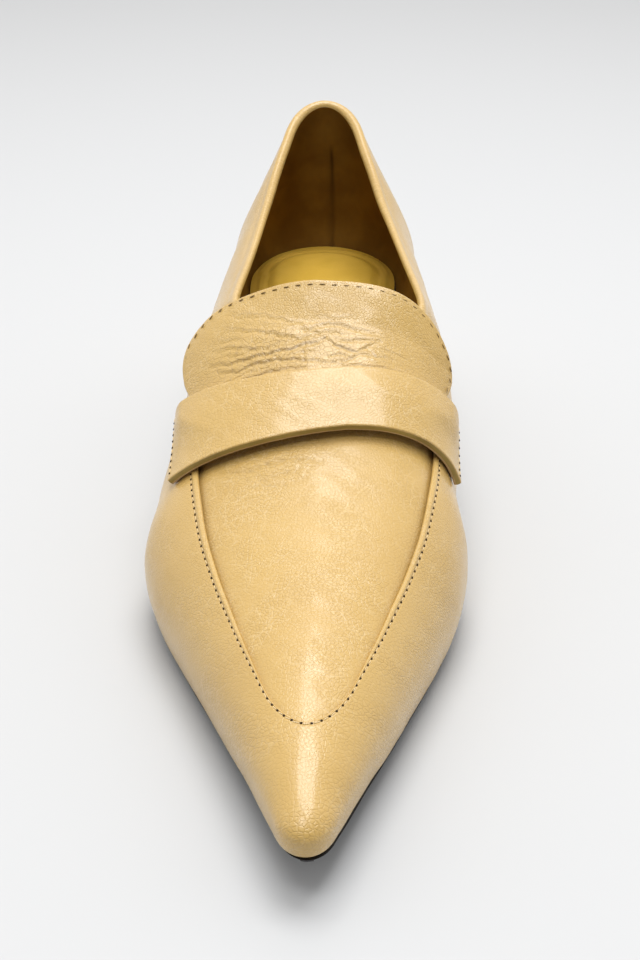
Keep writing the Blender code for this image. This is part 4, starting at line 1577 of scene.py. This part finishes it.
@dataclass
class Tongue(SubAssembly):
    """The flared flap over the instep, creased where it bends, with a stitched edge."""

    top_station: float = 115.2
    end_station: float = 149.0
    slant: float = 0.075
    end_sweep: float = 9.4
    flare: float = 2.8
    half_width: float = 32.3
    strap_waist: float = 1.1
    strap_waist_span: Span = (128.0, 137.0)
    hidden_waist: float = 3.5
    hidden_waist_span: Span = (137.0, 146.0)
    unevenness: float = 0.07
    wave_length: float = 21.0
    thickness: float = 1.8
    flat_width: float = 92.0
    flat_length: float = 32.0
    stitch_inset: float = 1.25
    corner_drop: float = 0.08
    stitch_lift: float = 0.07
    creases: tuple[Crease, ...] = (
        Crease(0.098, 0.36, (
            (117.5, -24.5), (120.5, -20), (122.5, -14), (124.6, -9.5), (126.2, -5.5), (129, -1.5),
        )),
        Crease(0.143, 0.36, (
            (122.5, -23.5), (125.3, -18.5), (127.5, -13.5), (129.3, -9), (130.8, -5), (131, 2.5),
        )),
        Crease(0.15, 0.38, ((127, -27), (128.5, -22), (130.5, -18), (132, -14), (132, -12), (130.8, -9))),
        Crease(0.203, 0.4, (
            (130.2, -27.5), (133, -22), (133.5, -15.5), (133.6, -7), (132.2, 0), (131.4, 2),
        )),
        Crease(0.188, 0.38, (
            (131.4, 1.7), (132.9, 4.2), (134.6, 7.4), (135.1, 10), (133.8, 12), (131.2, 16),
        )),
        Crease(0.195, 0.4, (
            (133, -25.5), (136, -20.5), (135.5, -15), (136.1, -9), (137.1, -3.5), (138.6, 4.5),
        )),
        Crease(0.158, 0.36, ((138.6, 4), (137.8, 7.5), (135.8, 11), (135.5, 14.5))),
        Crease(0.21, 0.45, (
            (136.7, -30.5), (138.1, -27.5), (138.2, -24), (139.3, -19), (138.8, -11), (139.4, -3),
        )),
        Crease(0.143, 0.36, ((127.3, -6.5), (128.7, -2), (127.1, 3), (128, 7.5), (129, 10.5), (128.7, 15))),
        Crease(0.135, 0.34, ((131.5, 4.3), (132.2, 8.4), (131.2, 12), (130.9, 16))),
        Crease(0.135, 0.36, ((139, 4.5), (139.5, 7.5), (138.9, 11.5), (138.6, 17), (137.8, 21.5))),
        Crease(0.105, 0.32, ((131.5, -13), (135, -10.5), (136, -9))),
        Crease(0.105, 0.32, ((128.8, -19), (131, -21), (133.2, -22))),
        Crease(0.105, 0.32, ((128.9, -1.5), (131, 2))),
        Crease(0.098, 0.32, ((133.8, -3.5), (137.2, -3))),
        Crease(0.09, 0.34, ((124.5, -26), (126.4, -22.5), (127.5, -19))),
        Crease(0.105, 0.34, ((129.5, -24), (131.6, -19), (131, -15.5))),
        Crease(0.105, 0.32, ((134.6, -12), (135.1, -6), (134.6, -1))),
        Crease(0.105, 0.32, ((136.5, 1.5), (136, 6), (137, 9))),
        Crease(0.098, 0.32, ((129.8, -3), (129.5, 3), (130.3, 7))),
        Crease(0.075, 0.36, ((125, -1), (125.9, 5), (125.2, 10))),
        Crease(0.098, 0.34, ((133.4, 12), (135.6, 15), (135, 19))),
        Crease(0.12, 0.34, ((137.6, -24), (137.2, -18), (137.8, -12))),
        Crease(0.068, 0.36, ((132.5, 15), (133.4, 19), (132.8, 24))),
    )

    def half_at(self, station: Array) -> Array:
        """Half width, which narrows where the strap crosses the flap and under the strap."""
        shown = self.half_width - self.strap_waist * soft_step(station, *self.strap_waist_span)
        return shown - self.hidden_waist * soft_step(station, *self.hidden_waist_span)

    def lift(self, reach: Array, station: Array) -> Array:
        """Height of the underside over the last: the wings stand off where no strap holds them."""
        flare = self.flare * (1.3 - 1.2 * soft_step(station, 117.0, 138.0))
        return 2 * self.last.gap + flare * np.minimum(reach, 1.0) ** 2.2

    def surface(self, share: Array, along: Array) -> tuple[Array, Array]:
        """Middle surface of the flap.

        Args:
            share: Positions across, from -1 on the lateral side to 1.
            along: Positions from the top edge, 0, to the end under the strap, 1.

        Returns:
            Points and normals.
        """
        share, along = np.broadcast_arrays(share, along)
        reach = np.abs(share)
        top = self.top_station + self.slant * self.half_width * share + 5.5 * reach**8
        end = self.end_station - self.end_sweep * reach**2.2
        station = top + (end - top) * along
        rounded = 1 - 0.045 * np.abs(2 * np.clip(along, 0.0, 1.0) - 1) ** 3.2 * reach**4
        lift = self.lift(reach * rounded, station) + 0.5 * self.thickness
        u = station / self.last.length
        side, angle = self.last.arch_place(u, self.half_at(station) * share * rounded)
        point, normal = self.last.lifted(u, side, angle, lift)
        relief = relief_of(self.creases, station, point[..., 0])
        waves = self.unevenness * undulation(point, self.wave_length)
        relief = relief + waves * (1 - soft_step(reach, 0.9, 1.0))
        return point + normal * relief[..., None], normal

    def build(self) -> bpy.types.Object:
        """Make the flap.

        Returns:
            The piece.
        """
        edge = PlateEdge()
        across, across_share = edge.spread(self.flat_width, 290)
        along, along_share = edge.spread(self.flat_length, 130)
        middle, normal = self.surface(2 * across[:, None] - 1, along[None, :])
        half = 0.5 * self.thickness * across_share[:, None] * along_share[None, :]
        station, x = middle[..., 1], middle[..., 0]
        band = bump(station, 134.0, 8.5) * (0.25 + 0.75 * bump(x, -6.0, 21.0))
        mesh = ShellMesh()
        cut = np.minimum(across_share[:, None], along_share[None, :]) < 0.97
        rim = np.where(cut[:-1, :-1] & cut[1:, 1:], 1, 0)
        # Painted shade in the flap's creases, darker where they are deeper.
        stain = np.clip(-2.4 * relief_of(self.creases, station, x), 0.0, 0.5)
        add_plate(mesh, middle, normal, half, (rim, rim), wrinkle=np.clip(0.2 + 0.9 * band, 0.0, 1.0),
                  stain=stain, flat_x=self.flat_width * across[:, None],
                  flat_y=self.flat_length * along[None, :])
        return mesh.to_object("tongue_flap", self.last, [self.finishes.tongue, self.finishes.edge])

    def edge_path(self) -> SeamPath:
        """Line of the stitches round the flap's free edge.

        Returns:
            The line and its normals.
        """
        inset_across = self.stitch_inset / (0.5 * self.flat_width)
        inset_along = self.stitch_inset / self.flat_length
        side = np.linspace(0.62, inset_along + self.corner_drop, 50)
        top = np.linspace(-1 + inset_across, 1 - inset_across, 400)
        share = np.concatenate((np.full(50, -1 + inset_across), top, np.full(50, 1 - inset_across)))
        drop = inset_along + self.corner_drop * (np.abs(top) / (1 - inset_across)) ** 12
        along = np.concatenate((side, drop, side[::-1]))
        point, normal = self.surface(share, along)
        return SeamPath(point + normal * (0.5 * self.thickness + self.stitch_lift), normal)


@dataclass
class SaddleStrap(SubAssembly):
    """The band across the instep, with painted cut edges and sewn ends."""

    tongue: Tongue
    front_station: float = 159.6
    back_station: float = 141.5
    middle: float = -0.2
    half_length: float = 35.6
    front_sweep: float = 5.3
    back_sweep: float = 8.0
    slant: float = 0.0945
    thickness: float = 2.0
    flat_length: float = 96.0
    flat_width: float = 17.5
    end_crowding: float = 1.4
    unevenness: float = 0.08
    wave_length: float = 19.0
    stitch_inset: float = 2.2
    stitch_lift: float = 0.03

    def surface(self, share: Array, across: Array) -> tuple[Array, Array]:
        """Middle surface of the band.

        Args:
            share: Positions along the band, from -1 at its lateral end to 1.
            across: Positions from its front edge, 0, to its back edge, 1.

        Returns:
            Points and normals.
        """
        share, across = np.broadcast_arrays(share, across)
        share = np.sin(self.end_crowding * share) / math.sin(self.end_crowding)
        x = self.middle + self.half_length * share
        reach = np.abs(share)
        front = self.front_station - self.slant * x - self.front_sweep * reach**3.5
        back = self.back_station - self.back_sweep * reach**2.4
        station = front + (back - front) * across
        over = self.tongue.lift(np.abs(x) / self.tongue.half_at(station), station) + self.tongue.thickness
        over = over * (1 - 0.55 * np.clip(1 - across / 0.66, 0.0, 1.0) ** 1.35)
        start = 0.5 + 0.38 * soft_step(across, 0.1, 0.8)
        fall = np.clip((reach - start) / (1 - start), 0.0, 1.0)
        lift = self.last.gap + over * np.cos(RIGHT_ANGLE * fall) + 0.5 * self.thickness
        u = station / self.last.length
        side, angle = self.last.arch_place(u, x)
        point, normal = self.last.lifted(u, side, angle, lift)
        return point + normal * (self.unevenness * undulation(point, self.wave_length))[..., None], normal

    def build(self) -> bpy.types.Object:
        """Make the band.

        Returns:
            The piece.
        """
        edge = PlateEdge((0.0, 0.02, 0.06, 0.13, 0.26, 0.42), (0.0, 0.4, 0.72, 0.89, 0.97, 1.0))
        along, along_share = edge.spread(self.flat_length, 190)
        across, across_share = edge.spread(self.flat_width, 36)
        middle, normal = self.surface(2 * along[:, None] - 1, across[None, :])
        share = along_share[:, None] * across_share[None, :]
        half = 0.5 * self.thickness * share
        cut = np.minimum(along_share[:, None], across_share[None, :])
        outer = np.minimum(np.minimum(cut[:-1, :-1], cut[1:, 1:]), np.minimum(cut[:-1, 1:], cut[1:, :-1]))
        upper = np.where(outer < 0.72, 1, 0)
        lower = np.where(outer < 0.4, 1, 2)
        mesh = ShellMesh()
        add_plate(mesh, middle, normal, half, (upper, lower), wrinkle=np.full(1, 0.08), stain=np.zeros(1),
                  flat_x=self.flat_length * along[:, None],
                  flat_y=self.flat_width * across[None, :])
        return mesh.to_object(
            "saddle_band", self.last, [self.finishes.strap, self.finishes.edge, self.finishes.backing], 50.0
        )

    def end_path(self, side: Side) -> SeamPath:
        """Line of the stitches across one end.

        Args:
            side: Side of the foot.

        Returns:
            The line and its normals.
        """
        across = np.linspace(0.1, 0.9, 60)
        share = np.full(60, side.value * (1 - self.stitch_inset / (0.5 * self.flat_length)))
        point, normal = self.surface(share, across)
        return SeamPath(point + normal * (0.5 * self.thickness + self.stitch_lift), normal)


@dataclass
class Insole(SubAssembly):
    """The covered inner sole with a padded heel bed and a rolled border."""

    margin: float = -2.1
    thickness: float = 2.2
    cushion: float = 1.2
    heel_radius: float = 24.0
    border_share: float = 0.45
    channel_inset: float = 5.4
    channel_depth: float = 0.3
    bed_lip: float = 0.25
    bed_window: Span = (112.0, 128.0)
    unevenness: float = 0.05
    wave_length: float = 30.0

    def build(self) -> bpy.types.Object:
        """Make the inner sole.

        Returns:
            The piece.
        """
        u = 0.5 * (1 - np.cos(np.pi * np.linspace(0.0, 1.0, 181)))[:, None]
        share = np.linspace(0.0, 1.0, 121)[None, :]
        ones = np.ones_like(u)
        left = self.last.sole_edge(u, -ones, self.margin)
        right = self.last.sole_edge(u, ones, self.margin)
        plan = left + (right - left) * share[..., None]
        x, station = plan[..., 0], plan[..., 1]
        floor = self.last.sole_top(station) + self.last.gap
        half = 0.5 * (right - left)[..., 0]
        middle = 0.5 * (right + left)[..., 0]
        centre = self.last.feather_inset_back + self.heel_radius + 2.6
        side_inset = half - np.abs(x - middle)
        heel_inset = self.heel_radius - np.hypot(x - middle, station - centre)
        inset = np.where(station < centre, heel_inset, np.minimum(side_inset, self.heel_radius))
        window = 1 - soft_step(station, *self.bed_window)
        border = self.border_share * self.cushion * soft_step(inset, 1.6, 3.2)
        channel = self.channel_depth * bump(inset, self.channel_inset, 0.7)
        bed = (1 - self.border_share) * self.cushion * soft_step(inset, 5.6, 8.2)
        bed = bed + self.bed_lip * bump(inset, 9.0, 1.6)
        rise = (border + bed - channel) * window
        top = plan.copy()
        waves = self.unevenness * undulation(plan, self.wave_length)
        top[..., 2] = floor + self.thickness + rise + waves
        bottom = plan.copy()
        bottom[..., 2] = floor
        mesh = ShellMesh()
        top = np.concatenate((bottom[:, :1], top, bottom[:, -1:]), axis=1)
        mesh.add_grid(top)
        mesh.add_grid(bottom)
        return mesh.to_object("sock_insole", self.last, [self.finishes.sock])


@dataclass
class Outsole(SubAssembly):
    """The thin dark sole with its rounded edge."""

    margin_top: float = -0.4
    margin_tread: float = -1.4
    toe_bevel: float = 2.2
    toe_shift: float = 0.4
    corner: float = 0.06
    edge_bulge: float = 0.06
    top_inset: float = 0.35
    tread_inset: float = 0.5

    def build(self) -> bpy.types.Object:
        """Make the sole.

        Returns:
            The piece.
        """
        u = 0.5 * (1 - np.cos(np.pi * np.linspace(0.0, 1.0, 221)))
        ones = np.ones_like(u)
        station = self.last.feather_outline.station(u)
        tread = self.margin_tread - self.toe_bevel * soft_step(station, 215.0, 255.0)
        rim: list[tuple[Array, float]] = []
        for turn in np.linspace(0.0, 1.0, 7):
            bulge = self.edge_bulge * math.sin(math.pi * turn)
            margin = self.margin_top + (tread - self.margin_top) * turn + bulge
            rim.append((margin, self.corner + (1 - 2 * self.corner) * turn))
        loops = []
        across = np.linspace(0.0, 1.0, 22)
        inner = self.margin_top - self.top_inset
        top_left = self.last.sole_edge(u, -ones, inner)
        top_right = self.last.sole_edge(u, ones, inner)
        low_left = self.last.sole_edge(u, -ones, tread - self.tread_inset)
        low_right = self.last.sole_edge(u, ones, tread - self.tread_inset)
        for share in across:
            loops.append(self.at_height(top_left + (top_right - top_left) * share, 0.0))
        for margin, depth in rim:
            loops.append(self.at_height(self.last.sole_edge(u, ones, margin), depth))
        for share in across:
            loops.append(self.at_height(low_right + (low_left - low_right) * share, 1.0))
        for margin, depth in reversed(rim):
            loops.append(self.at_height(self.last.sole_edge(u, -ones, margin), depth))
        grid = np.stack(loops)
        grid[..., 0] += self.toe_shift * soft_step(grid[..., 1], 200.0, 255.0)
        mesh = ShellMesh()
        mesh.add_grid(grid, True, False)
        return mesh.to_object("thin_outsole", self.last, [self.finishes.sole])

    def at_height(self, plan: Array, depth: float) -> Array:
        """Points of the plan at a share of the sole's thickness below its top.

        Args:
            plan: Points whose height is set.
            depth: Share of the thickness.

        Returns:
            The points.
        """
        result = plan.copy()
        result[..., 2] = self.last.sole_top(plan[..., 1]) - depth * self.last.sole_thickness
        return result


@dataclass
class Heel(SubAssembly):
    """The covered heel block and the rubber piece that it stands on."""

    piece_height: float = 5.0
    seat_half: float = 24.0
    seat_back: float = 3.6
    seat_front: float = 55.0
    base_half: float = 13.5
    base_back: float = 7.5
    base_front: float = 32.0
    squareness: float = 2.4
    side_flare: float = 1.9
    back_flare: float = 0.8
    front_flare: float = 2.2
    ring_count: int = 128

    def ring(self, h: float, inset: float = 0.0) -> Array:
        """Plan of the block at a share of its height.

        Args:
            h: 0 at the base, 1 at the seat.
            inset: Distance by which the plan is drawn in.

        Returns:
            Points as x and station.
        """
        half = self.base_half + (self.seat_half - self.base_half) * h**self.side_flare - inset
        back = self.base_back + (self.seat_back - self.base_back) * h**self.back_flare + inset
        front = self.base_front + (self.seat_front - self.base_front) * h**self.front_flare - inset
        turn = 2 * np.pi * np.arange(self.ring_count) / self.ring_count
        c, s = np.cos(turn), np.sin(turn)
        power = 2 / self.squareness
        x = half * np.sign(c) * np.abs(c) ** power
        y = 0.5 * (back + front) + 0.5 * (front - back) * np.sign(s) * np.abs(s) ** power
        return np.stack((x, y), axis=-1)

    def close(self, mesh: ShellMesh, rings: list[Array]) -> None:
        """Add rings of points as a block closed by shrinking rings at both ends.

        Args:
            mesh: Mesh that takes the block.
            rings: Rings from the lowest up.
        """
        first, last = rings[0], rings[-1]
        bottom = [first.mean(axis=0) + (first - first.mean(axis=0)) * k for k in (0.0, 0.5, 0.9)]
        top = [last.mean(axis=0) + (last - last.mean(axis=0)) * k for k in (0.9, 0.5, 0.0)]
        mesh.add_grid(np.stack(bottom + rings + top), False, True)

    def build_block(self) -> bpy.types.Object:
        """Make the covered block.

        Returns:
            The piece.
        """
        base = self.piece_height + self.last.gap
        rings = []
        foot = [(0.0, 0.4), (0.012, 0.1), (0.03, 0.0)]
        for h, inset in foot + [(k, 0.0) for k in np.linspace(0.06, 1, 44)]:
            plan = self.ring(h, inset)
            seat = self.last.tread.at(plan[:, 1], "height") - self.last.gap
            rings.append(points(plan[:, 0], plan[:, 1], base + (seat - base) * h))
        mesh = ShellMesh()
        self.close(mesh, rings)
        place = np.concatenate(mesh.vertices)
        mesh.attributes["wrinkle"] = [np.full(mesh.count, 0.05)]
        mesh.attributes["stain"] = [np.zeros(mesh.count)]
        mesh.attributes["flat_x"] = [place[:, 0] + 0.7 * place[:, 1]]
        mesh.attributes["flat_y"] = [place[:, 2] + 0.3 * place[:, 1]]
        return mesh.to_object("heel_block", self.last, [self.finishes.leather], 50.0)

    def build_piece(self) -> bpy.types.Object:
        """Make the rubber piece.

        Returns:
            The piece.
        """
        top = self.piece_height
        rings = []
        lower = [(0.0, 0.35), (0.12, 0.1), (0.4, 0.0)]
        for z, inset in lower + [(top - 0.3, 0.0), (top - 0.08, 0.1), (top, 0.3)]:
            plan = self.ring(0.0, inset)
            rings.append(points(plan[:, 0], plan[:, 1], z))
        mesh = ShellMesh()
        self.close(mesh, rings)
        return mesh.to_object("heel_wear_piece", self.last, [self.finishes.rubber], 50.0)


@dataclass(frozen=True)
class StitchStyle:
    """Sizes of one kind of stitch row, and whether its thread is dark."""

    pitch: float = 2.2
    thread_length: float = 1.5
    thread_width: float = 0.34
    hole_size: float = 0.64
    dark: bool = False


@dataclass
class StitchRows(SubAssembly):
    """Rows of thread with dark blobs as the painted shade of needle holes, made along lines by a geometry
    node tree.
    """

    seed: int = 7

    def __post_init__(self) -> None:
        """Build the tree once."""
        self.tree = bpy.data.node_groups.new("stitch_row", "GeometryNodeTree")
        self.nodes = NodeTree(self.tree)
        self.sockets: dict[str, str] = {}
        self.build_tree()

    def socket(self, name: str, kind: str) -> None:
        """Add a named input to the tree and keep its identifier."""
        item = self.tree.interface.new_socket(name, in_out="INPUT", socket_type=kind)
        self.sockets[name] = item.identifier

    def build_tree(self) -> None:
        """Lay out the tree: points along the line, threads between them and dark blobs at them, the painted
        shade of needle holes.
        """
        self.socket("Line", "NodeSocketGeometry")
        for name in ("Pitch", "Thread Length", "Thread Width", "Hole Size"):
            self.socket(name, "NodeSocketFloat")
        self.socket("Seed", "NodeSocketInt")
        self.socket("Thread Material", "NodeSocketMaterial")
        self.socket("Hole Shade Material", "NodeSocketMaterial")
        self.tree.interface.new_socket("Stitches", in_out="OUTPUT", socket_type="NodeSocketGeometry")
        given = self.nodes.add("NodeGroupInput").outputs
        curve = self.nodes.first("GeometryNodeMeshToCurve", {0: given["Line"]})
        row = self.nodes.first(
            "GeometryNodeResampleCurve", {"Curve": curve, "Length": given["Pitch"]}, mode="LENGTH"
        )
        outward = self.nodes.first(
            "GeometryNodeInputNamedAttribute", {"Name": "outward"}, data_type="FLOAT_VECTOR"
        )
        tangent = self.nodes.first("GeometryNodeInputTangent")
        up = self.nodes.first("FunctionNodeAlignRotationToVector", {"Vector": outward}, axis="Z")
        along = {"Rotation": up, "Vector": tangent}
        turned = self.nodes.first("FunctionNodeAlignRotationToVector", along, axis="X", pivot_axis="Z")
        thread = self.blob(given["Thread Length"], given["Thread Width"], 0.5)
        threads = self.spread(row, thread, turned)
        half = self.nodes.math("MULTIPLY", given["Pitch"], 0.5)
        shift = self.nodes.first("ShaderNodeCombineXYZ", {0: half})
        between = {"Instances": threads, "Translation": shift}
        moved = self.nodes.first("GeometryNodeTranslateInstances", between)
        tilt = self.nodes.first(
            "FunctionNodeRandomValue",
            {"Min": (0.0, 0.0, -0.1), "Max": (0.0, 0.0, 0.1), "Seed": given["Seed"]},
            data_type="FLOAT_VECTOR",
        )
        tilted = self.nodes.first("GeometryNodeRotateInstances", {"Instances": moved, "Rotation": tilt})
        # Painted shade of the needle holes: flat dark blobs at the points.
        hole_shade = self.blob(given["Hole Size"], given["Hole Size"], 0.35)
        holes = self.spread(row, hole_shade, turned)
        sewn = self.dressed(tilted, given["Thread Material"])
        pierced = self.dressed(holes, given["Hole Shade Material"])
        joined = self.nodes.add("GeometryNodeJoinGeometry")
        self.tree.links.new(sewn, joined.inputs[0])
        self.tree.links.new(pierced, joined.inputs[0])
        self.nodes.add("NodeGroupOutput", {0: joined.outputs[0]})

    def spread(self, row: Socket, body: Socket, rotation: Socket) -> Socket:
        """Instances of a body on the points of a row."""
        inputs = {"Points": row, "Instance": body, "Rotation": rotation}
        return self.nodes.first("GeometryNodeInstanceOnPoints", inputs)

    def blob(self, length: Socket, width: Socket, flat: float) -> Socket:
        """A small rounded body, flattened.

        Args:
            length: Its length.
            width: Its width.
            flat: Half of its depth as a share of its width.

        Returns:
            The body.
        """
        ball = self.nodes.first("GeometryNodeMeshUVSphere", {"Segments": 8, "Rings": 6, "Radius": 0.5})
        squashed = self.nodes.math("MULTIPLY", width, 2 * flat)
        size = self.nodes.first("ShaderNodeCombineXYZ", {0: length, 1: width, 2: squashed})
        body = self.nodes.first("GeometryNodeTransform", {"Geometry": ball, "Scale": size})
        return self.nodes.first("GeometryNodeSetShadeSmooth", {0: body})

    def dressed(self, instances: Socket, material: Socket) -> Socket:
        """Instances made real, with their material."""
        real = self.nodes.first("GeometryNodeRealizeInstances", {0: instances})
        return self.nodes.first("GeometryNodeSetMaterial", {0: real, "Material": material})

    def build(self, name: str, path: SeamPath, style: StitchStyle) -> bpy.types.Object:
        """Make one row.

        Args:
            name: Name of the piece.
            path: Line that it follows.
            style: Kind of stitch.

        Returns:
            The piece.
        """
        world = self.last.to_world(path.line)
        outward = path.normal * np.array((1.0, -1.0, 1.0))
        mesh = bpy.data.meshes.new(name)
        mesh.from_pydata(world.tolist(), [(i, i + 1) for i in range(len(world) - 1)], [])
        layer = mesh.attributes.new("outward", "FLOAT_VECTOR", "POINT")
        layer.data.foreach_set("vector", outward.reshape(-1).astype(np.float32))
        obj = linked(name, mesh)
        modifier = obj.modifiers.new("stitches", "NODES")
        modifier.node_group = self.tree
        values = {
            "Pitch": style.pitch * MM,
            "Thread Length": style.thread_length * MM,
            "Thread Width": style.thread_width * MM,
            "Hole Size": style.hole_size * MM,
            "Seed": self.seed,
            "Thread Material": self.finishes.dark_thread if style.dark else self.finishes.thread,
            "Hole Shade Material": self.finishes.hole_shade,
        }
        for key, value in values.items():
            modifier[self.sockets[key]] = value
        evaluated = obj.evaluated_get(bpy.context.evaluated_depsgraph_get())
        made = bpy.data.meshes.new_from_object(evaluated)
        obj.modifiers.remove(modifier)
        obj.data = made
        made.name = name
        bpy.data.meshes.remove(mesh)
        return obj


@dataclass(frozen=True)
class SoftLight:
    """A rectangular studio light that faces the shoe: place and size in metres, power in watts."""

    name: str
    place: tuple[float, float, float]
    size: tuple[float, float]
    power: float


@dataclass
class Studio:
    """Floor, soft lights and the camera at the photograph's angle."""

    camera_place: tuple[float, float, float] = (0.0088, -0.3325, 0.211)
    camera_pitch: float = 60.5
    camera_yaw: float = 1.05
    camera_lens: float = 52.5
    sensor_width: float = 36.0
    floor_size: float = 8.0
    room_light: float = 1.0
    room_front: float = 0.16
    room_span: tuple[float, float] = (-0.85, 0.35)
    room_colour: Colour = (1.0, 0.985, 0.97, 1.0)
    aim: tuple[float, float, float] = (0.0, 0.0, 0.03)
    lights: tuple[SoftLight, ...] = (
        SoftLight("overhead_softbox", (0.07, 0.11, 1.1), (0.68, 0.5), 8.2),
        SoftLight("front_softbox", (-0.1, -0.4, 1.08), (0.44, 0.3), 3.0),
        SoftLight("back_screen", (0.03, 1.15, 1.15), (0.6, 0.6), 1.5),
    )

    def build(self) -> None:
        """Make the stage."""
        bpy.context.scene.view_settings.view_transform = "Standard"
        self.make_floor()
        self.make_world()
        for light in self.lights:
            self.make_light(light)
        self.make_camera()

    def make_floor(self) -> None:
        """Lay the floor."""
        half = 0.5 * self.floor_size
        corners = [(-half, -half, 0.0), (half, -half, 0.0), (half, half, 0.0), (-half, half, 0.0)]
        mesh = bpy.data.meshes.new("studio_floor")
        mesh.from_pydata(corners, [], [(0, 1, 2, 3)])
        mesh.materials.append(FloorFinish().material())
        floor = linked("studio_floor", mesh)

    def make_world(self) -> None:
        """Light the room softly, less from the camera's side."""
        world = bpy.data.worlds.new("studio_room")
        world.use_nodes = True
        nodes = NodeTree(world.node_tree)
        background = nodes.tree.nodes["Background"]
        background.inputs["Color"].default_value = self.room_colour
        way = nodes.add("ShaderNodeTexCoord").outputs["Generated"]
        axes = nodes.add("ShaderNodeSeparateXYZ", {0: way})
        strength = nodes.ramp(axes.outputs["Y"], *self.room_span, self.room_front, self.room_light)
        nodes.feed(background.inputs["Strength"], strength)
        bpy.context.scene.world = world

    def make_light(self, light: SoftLight) -> None:
        """Hang a soft rectangular light.

        Args:
            light: Its sizes.
        """
        data = bpy.data.lights.new(light.name, "AREA")
        data.shape = "RECTANGLE"
        data.size, data.size_y = light.size
        data.energy = light.power
        lamp = linked(light.name, data)
        lamp.location = light.place
        direction = Vector(self.aim) - Vector(light.place)
        lamp.rotation_euler = direction.to_track_quat("-Z", "Y").to_euler()

    def make_camera(self) -> None:
        """Stand the camera where the photograph was taken from."""
        data = bpy.data.cameras.new("photo_camera")
        data.sensor_width = self.sensor_width
        data.lens = self.camera_lens
        data.clip_start = 0.01
        camera = linked("photo_camera", data)
        camera.location = self.camera_place
        camera.rotation_euler = (math.radians(self.camera_pitch), 0.0, math.radians(self.camera_yaw))
        bpy.context.scene.camera = camera


def main() -> None:
    """Dress the shoe and set up the studio."""
    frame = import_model()
    LOG.info("nodes: %s", ", ".join(sorted(frame["nodes"])))
    last = Last()
    finishes = Finishes()
    Studio().build()
    upper = Upper(last, finishes)
    vamp, seam = upper.build_outer()
    join_frame(vamp, Slot.LEATHER, "upper")
    join_frame(upper.build_plug(), Slot.LEATHER)
    join_frame(upper.build_lining(), Slot.SOCK)
    tongue = Tongue(last, finishes)
    join_frame(tongue.build(), Slot.LEATHER, "tongue")
    strap = SaddleStrap(last, finishes, tongue)
    join_frame(strap.build(), Slot.LEATHER, "saddle_strap")
    join_frame(Insole(last, finishes).build(), Slot.SOCK, "insole")
    join_frame(Outsole(last, finishes).build(), Slot.SOLE, "outsole")
    heel = Heel(last, finishes)
    join_frame(heel.build_block(), Slot.LEATHER, "heel")
    join_frame(heel.build_piece(), Slot.RUBBER, "top_piece")
    rows = StitchRows(last, finishes)
    pricked = StitchStyle()
    dashes = StitchStyle(pitch=3.2, thread_length=1.6, hole_size=0.12, dark=True)
    join_frame(rows.build("apron_stitches", seam, pricked), Slot.LEATHER)
    join_frame(rows.build("tongue_stitches", tongue.edge_path(), dashes), Slot.LEATHER)
    for side in Side:
        name = f"strap_stitches_{side.name.lower()}"
        join_frame(rows.build(name, strap.end_path(side), pricked), Slot.LEATHER)


if __name__ == "__main__":
    logging.basicConfig(level=logging.INFO, format="%(name)s: %(message)s")
    main()
